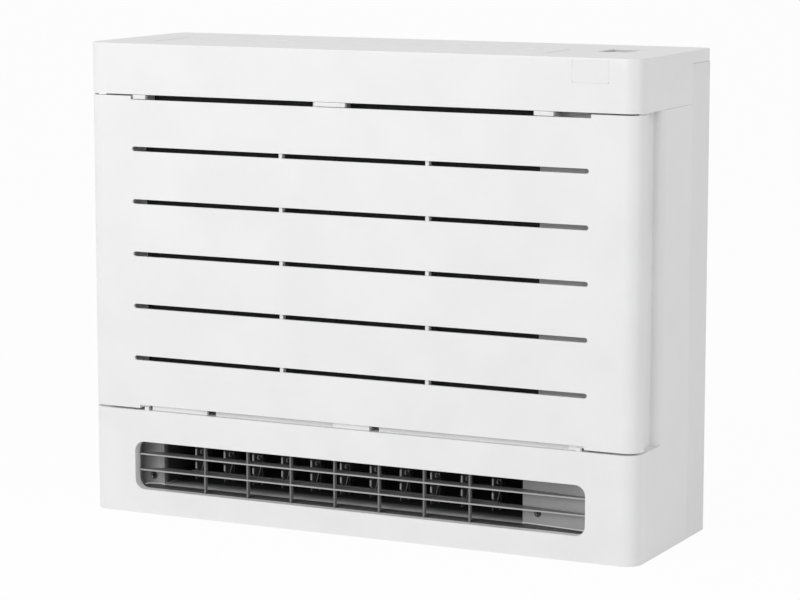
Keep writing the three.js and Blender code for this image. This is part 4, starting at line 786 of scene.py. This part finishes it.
class BuildStudio(bpy.types.Operator):
    """Pale floor, soft lights, white surroundings and the camera"""

    bl_idname = "aircon.build_studio"
    bl_label = "Build Studio"

    def light(self, name, power, place, size):
        """A square soft light aimed at the cabinet's middle."""
        lamp = bpy.data.lights.new(name, "AREA")
        lamp.energy = power
        lamp.size = size
        lit = bpy.data.objects.new(name, lamp)
        lit.location = place
        aim = Vector((0, 0, 0.3)) - Vector(place)
        lit.rotation_euler = aim.to_track_quat("-Z", "Y").to_euler()
        bpy.context.scene.collection.objects.link(lit)

    def execute(self, context):
        look = context.scene.studio_settings
        bm = bmesh.new()
        bmesh.ops.create_grid(bm, x_segments=1, y_segments=1, size=30)
        mesh = bpy.data.meshes.new("studio_floor")
        bm.to_mesh(mesh)
        bm.free()
        floor = bpy.data.objects.new("studio_floor", mesh)
        floor.location.z = -0.0005
        context.scene.collection.objects.link(floor)
        mesh.materials.append(self.floor_material(look.floor, look.floor_glow))
        lamps = {
            "key_light": (look.key_power, (-1.5, -3.4, 1.9), 2.4),
            "fill_light": (look.fill_power, (3.4, -1.2, 0.6), 2.0),
            "top_light": (look.top_power, (0.2, 0.1, 3.0), 2.4),
        }
        for name, (watts, place, size) in lamps.items():
            self.light(name, watts, place, size)
        self.surroundings(look.sky)
        camera = bpy.data.objects.new("camera", bpy.data.cameras.new("camera"))
        camera.location = (1.61295, -3.25883, 0.82225)
        camera.rotation_euler = (math.radians(90 - 8.49), 0, math.radians(26.238))
        camera.data.lens = look.lens
        camera.data.clip_end = 100
        context.scene.collection.objects.link(camera)
        context.scene.camera = camera
        context.scene.view_settings.view_transform = "Standard"
        return {"FINISHED"}

    def floor_material(self, base, glow_share):
        """Pale matt floor that reads as white to the camera but keeps the object's shadow."""
        s = Shading("Studio floor")
        s.finish(Base_Color=base, Roughness=0.9, Specular_IOR_Level=0.1)
        rays = s.tree.nodes.new("ShaderNodeLightPath")
        kinds = {0: rays.outputs["Is Camera Ray"], 1: rays.outputs["Is Glossy Ray"]}
        seen = s.add("ShaderNodeMath", kinds, operation="MAXIMUM")
        weight = s.add("ShaderNodeMath", {0: seen.outputs[0], 1: glow_share}, operation="MULTIPLY")
        glow = s.add("ShaderNodeEmission", {"Color": (1, 1, 1, 1), "Strength": 1.0})
        blend = s.add("ShaderNodeMixShader", {0: weight.outputs[0], 2: glow.outputs[0]})
        s.tree.links.new(s.shader.outputs[0], blend.inputs[1])
        s.tree.links.new(blend.outputs[0], s.tree.nodes["Material Output"].inputs["Surface"])
        return s.material

    def surroundings(self, strength):
        """White behind the object, even light everywhere else."""
        world = bpy.data.worlds.new("Studio")
        world.use_nodes = True
        bpy.context.scene.world = world
        nodes, link = world.node_tree.nodes, world.node_tree.links.new
        sky = nodes["Background"]
        sky.inputs["Color"].default_value = (1, 1, 1, 1)
        sky.inputs["Strength"].default_value = strength
        white = nodes.new("ShaderNodeBackground")
        white.inputs["Color"].default_value = (1, 1, 1, 1)
        white.inputs["Strength"].default_value = 1.0
        rays = nodes.new("ShaderNodeLightPath")
        seen = nodes.new("ShaderNodeMath")
        seen.operation = "MAXIMUM"
        both = nodes.new("ShaderNodeMath")
        both.operation = "MAXIMUM"
        blend = nodes.new("ShaderNodeMixShader")
        link(rays.outputs["Is Camera Ray"], seen.inputs[0])
        link(rays.outputs["Is Glossy Ray"], seen.inputs[1])
        link(seen.outputs[0], both.inputs[0])
        link(rays.outputs["Is Transmission Ray"], both.inputs[1])
        link(both.outputs[0], blend.inputs[0])
        link(sky.outputs[0], blend.inputs[1])
        link(white.outputs[0], blend.inputs[2])
        link(blend.outputs[0], nodes["World Output"].inputs["Surface"])


OPERATORS = (
    FinishCabinet,
    FinishOutlets,
    BuildLowerLouvers,
    FinishInner,
    BuildFins,
    BuildGapTabs,
    BuildTrim,
    BuildStudio,
)
SETTINGS = {
    "cabinet_settings": CabinetSettings,
    "outlet_settings": OutletSettings,
    "inner_settings": InnerSettings,
    "studio_settings": StudioSettings,
}


class AirConditionerPanel(bpy.types.Panel):
    """Sizes, finishes and steps of the air conditioner"""

    bl_idname = "VIEW3D_PT_air_conditioner"
    bl_label = "Air Conditioner"
    bl_space_type = "VIEW_3D"
    bl_region_type = "UI"
    bl_category = "Air Conditioner"

    def draw(self, context):
        for group in SETTINGS:
            settings = getattr(context.scene, group)
            column = self.layout.box().column()
            for name in settings.__annotations__:
                column.prop(settings, name)
        for operator in OPERATORS:
            self.layout.operator(operator.bl_idname)


def register():
    for kind in (*SETTINGS.values(), *OPERATORS, AirConditionerPanel):
        bpy.utils.register_class(kind)
    for name, kind in SETTINGS.items():
        setattr(bpy.types.Scene, name, PointerProperty(type=kind))


def unregister():
    for name in SETTINGS:
        delattr(bpy.types.Scene, name)
    for kind in (AirConditionerPanel, *reversed(OPERATORS), *SETTINGS.values()):
        bpy.utils.unregister_class(kind)


def main():
    register()
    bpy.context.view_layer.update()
    bpy.ops.aircon.finish_cabinet()
    bpy.ops.aircon.finish_outlets()
    bpy.ops.aircon.build_lower_louvers()
    bpy.ops.aircon.finish_inner()
    bpy.ops.aircon.build_fins()
    bpy.ops.aircon.build_gap_tabs()
    bpy.ops.aircon.build_trim()
    bpy.ops.aircon.build_studio()


if __name__ == "__main__":
    main()
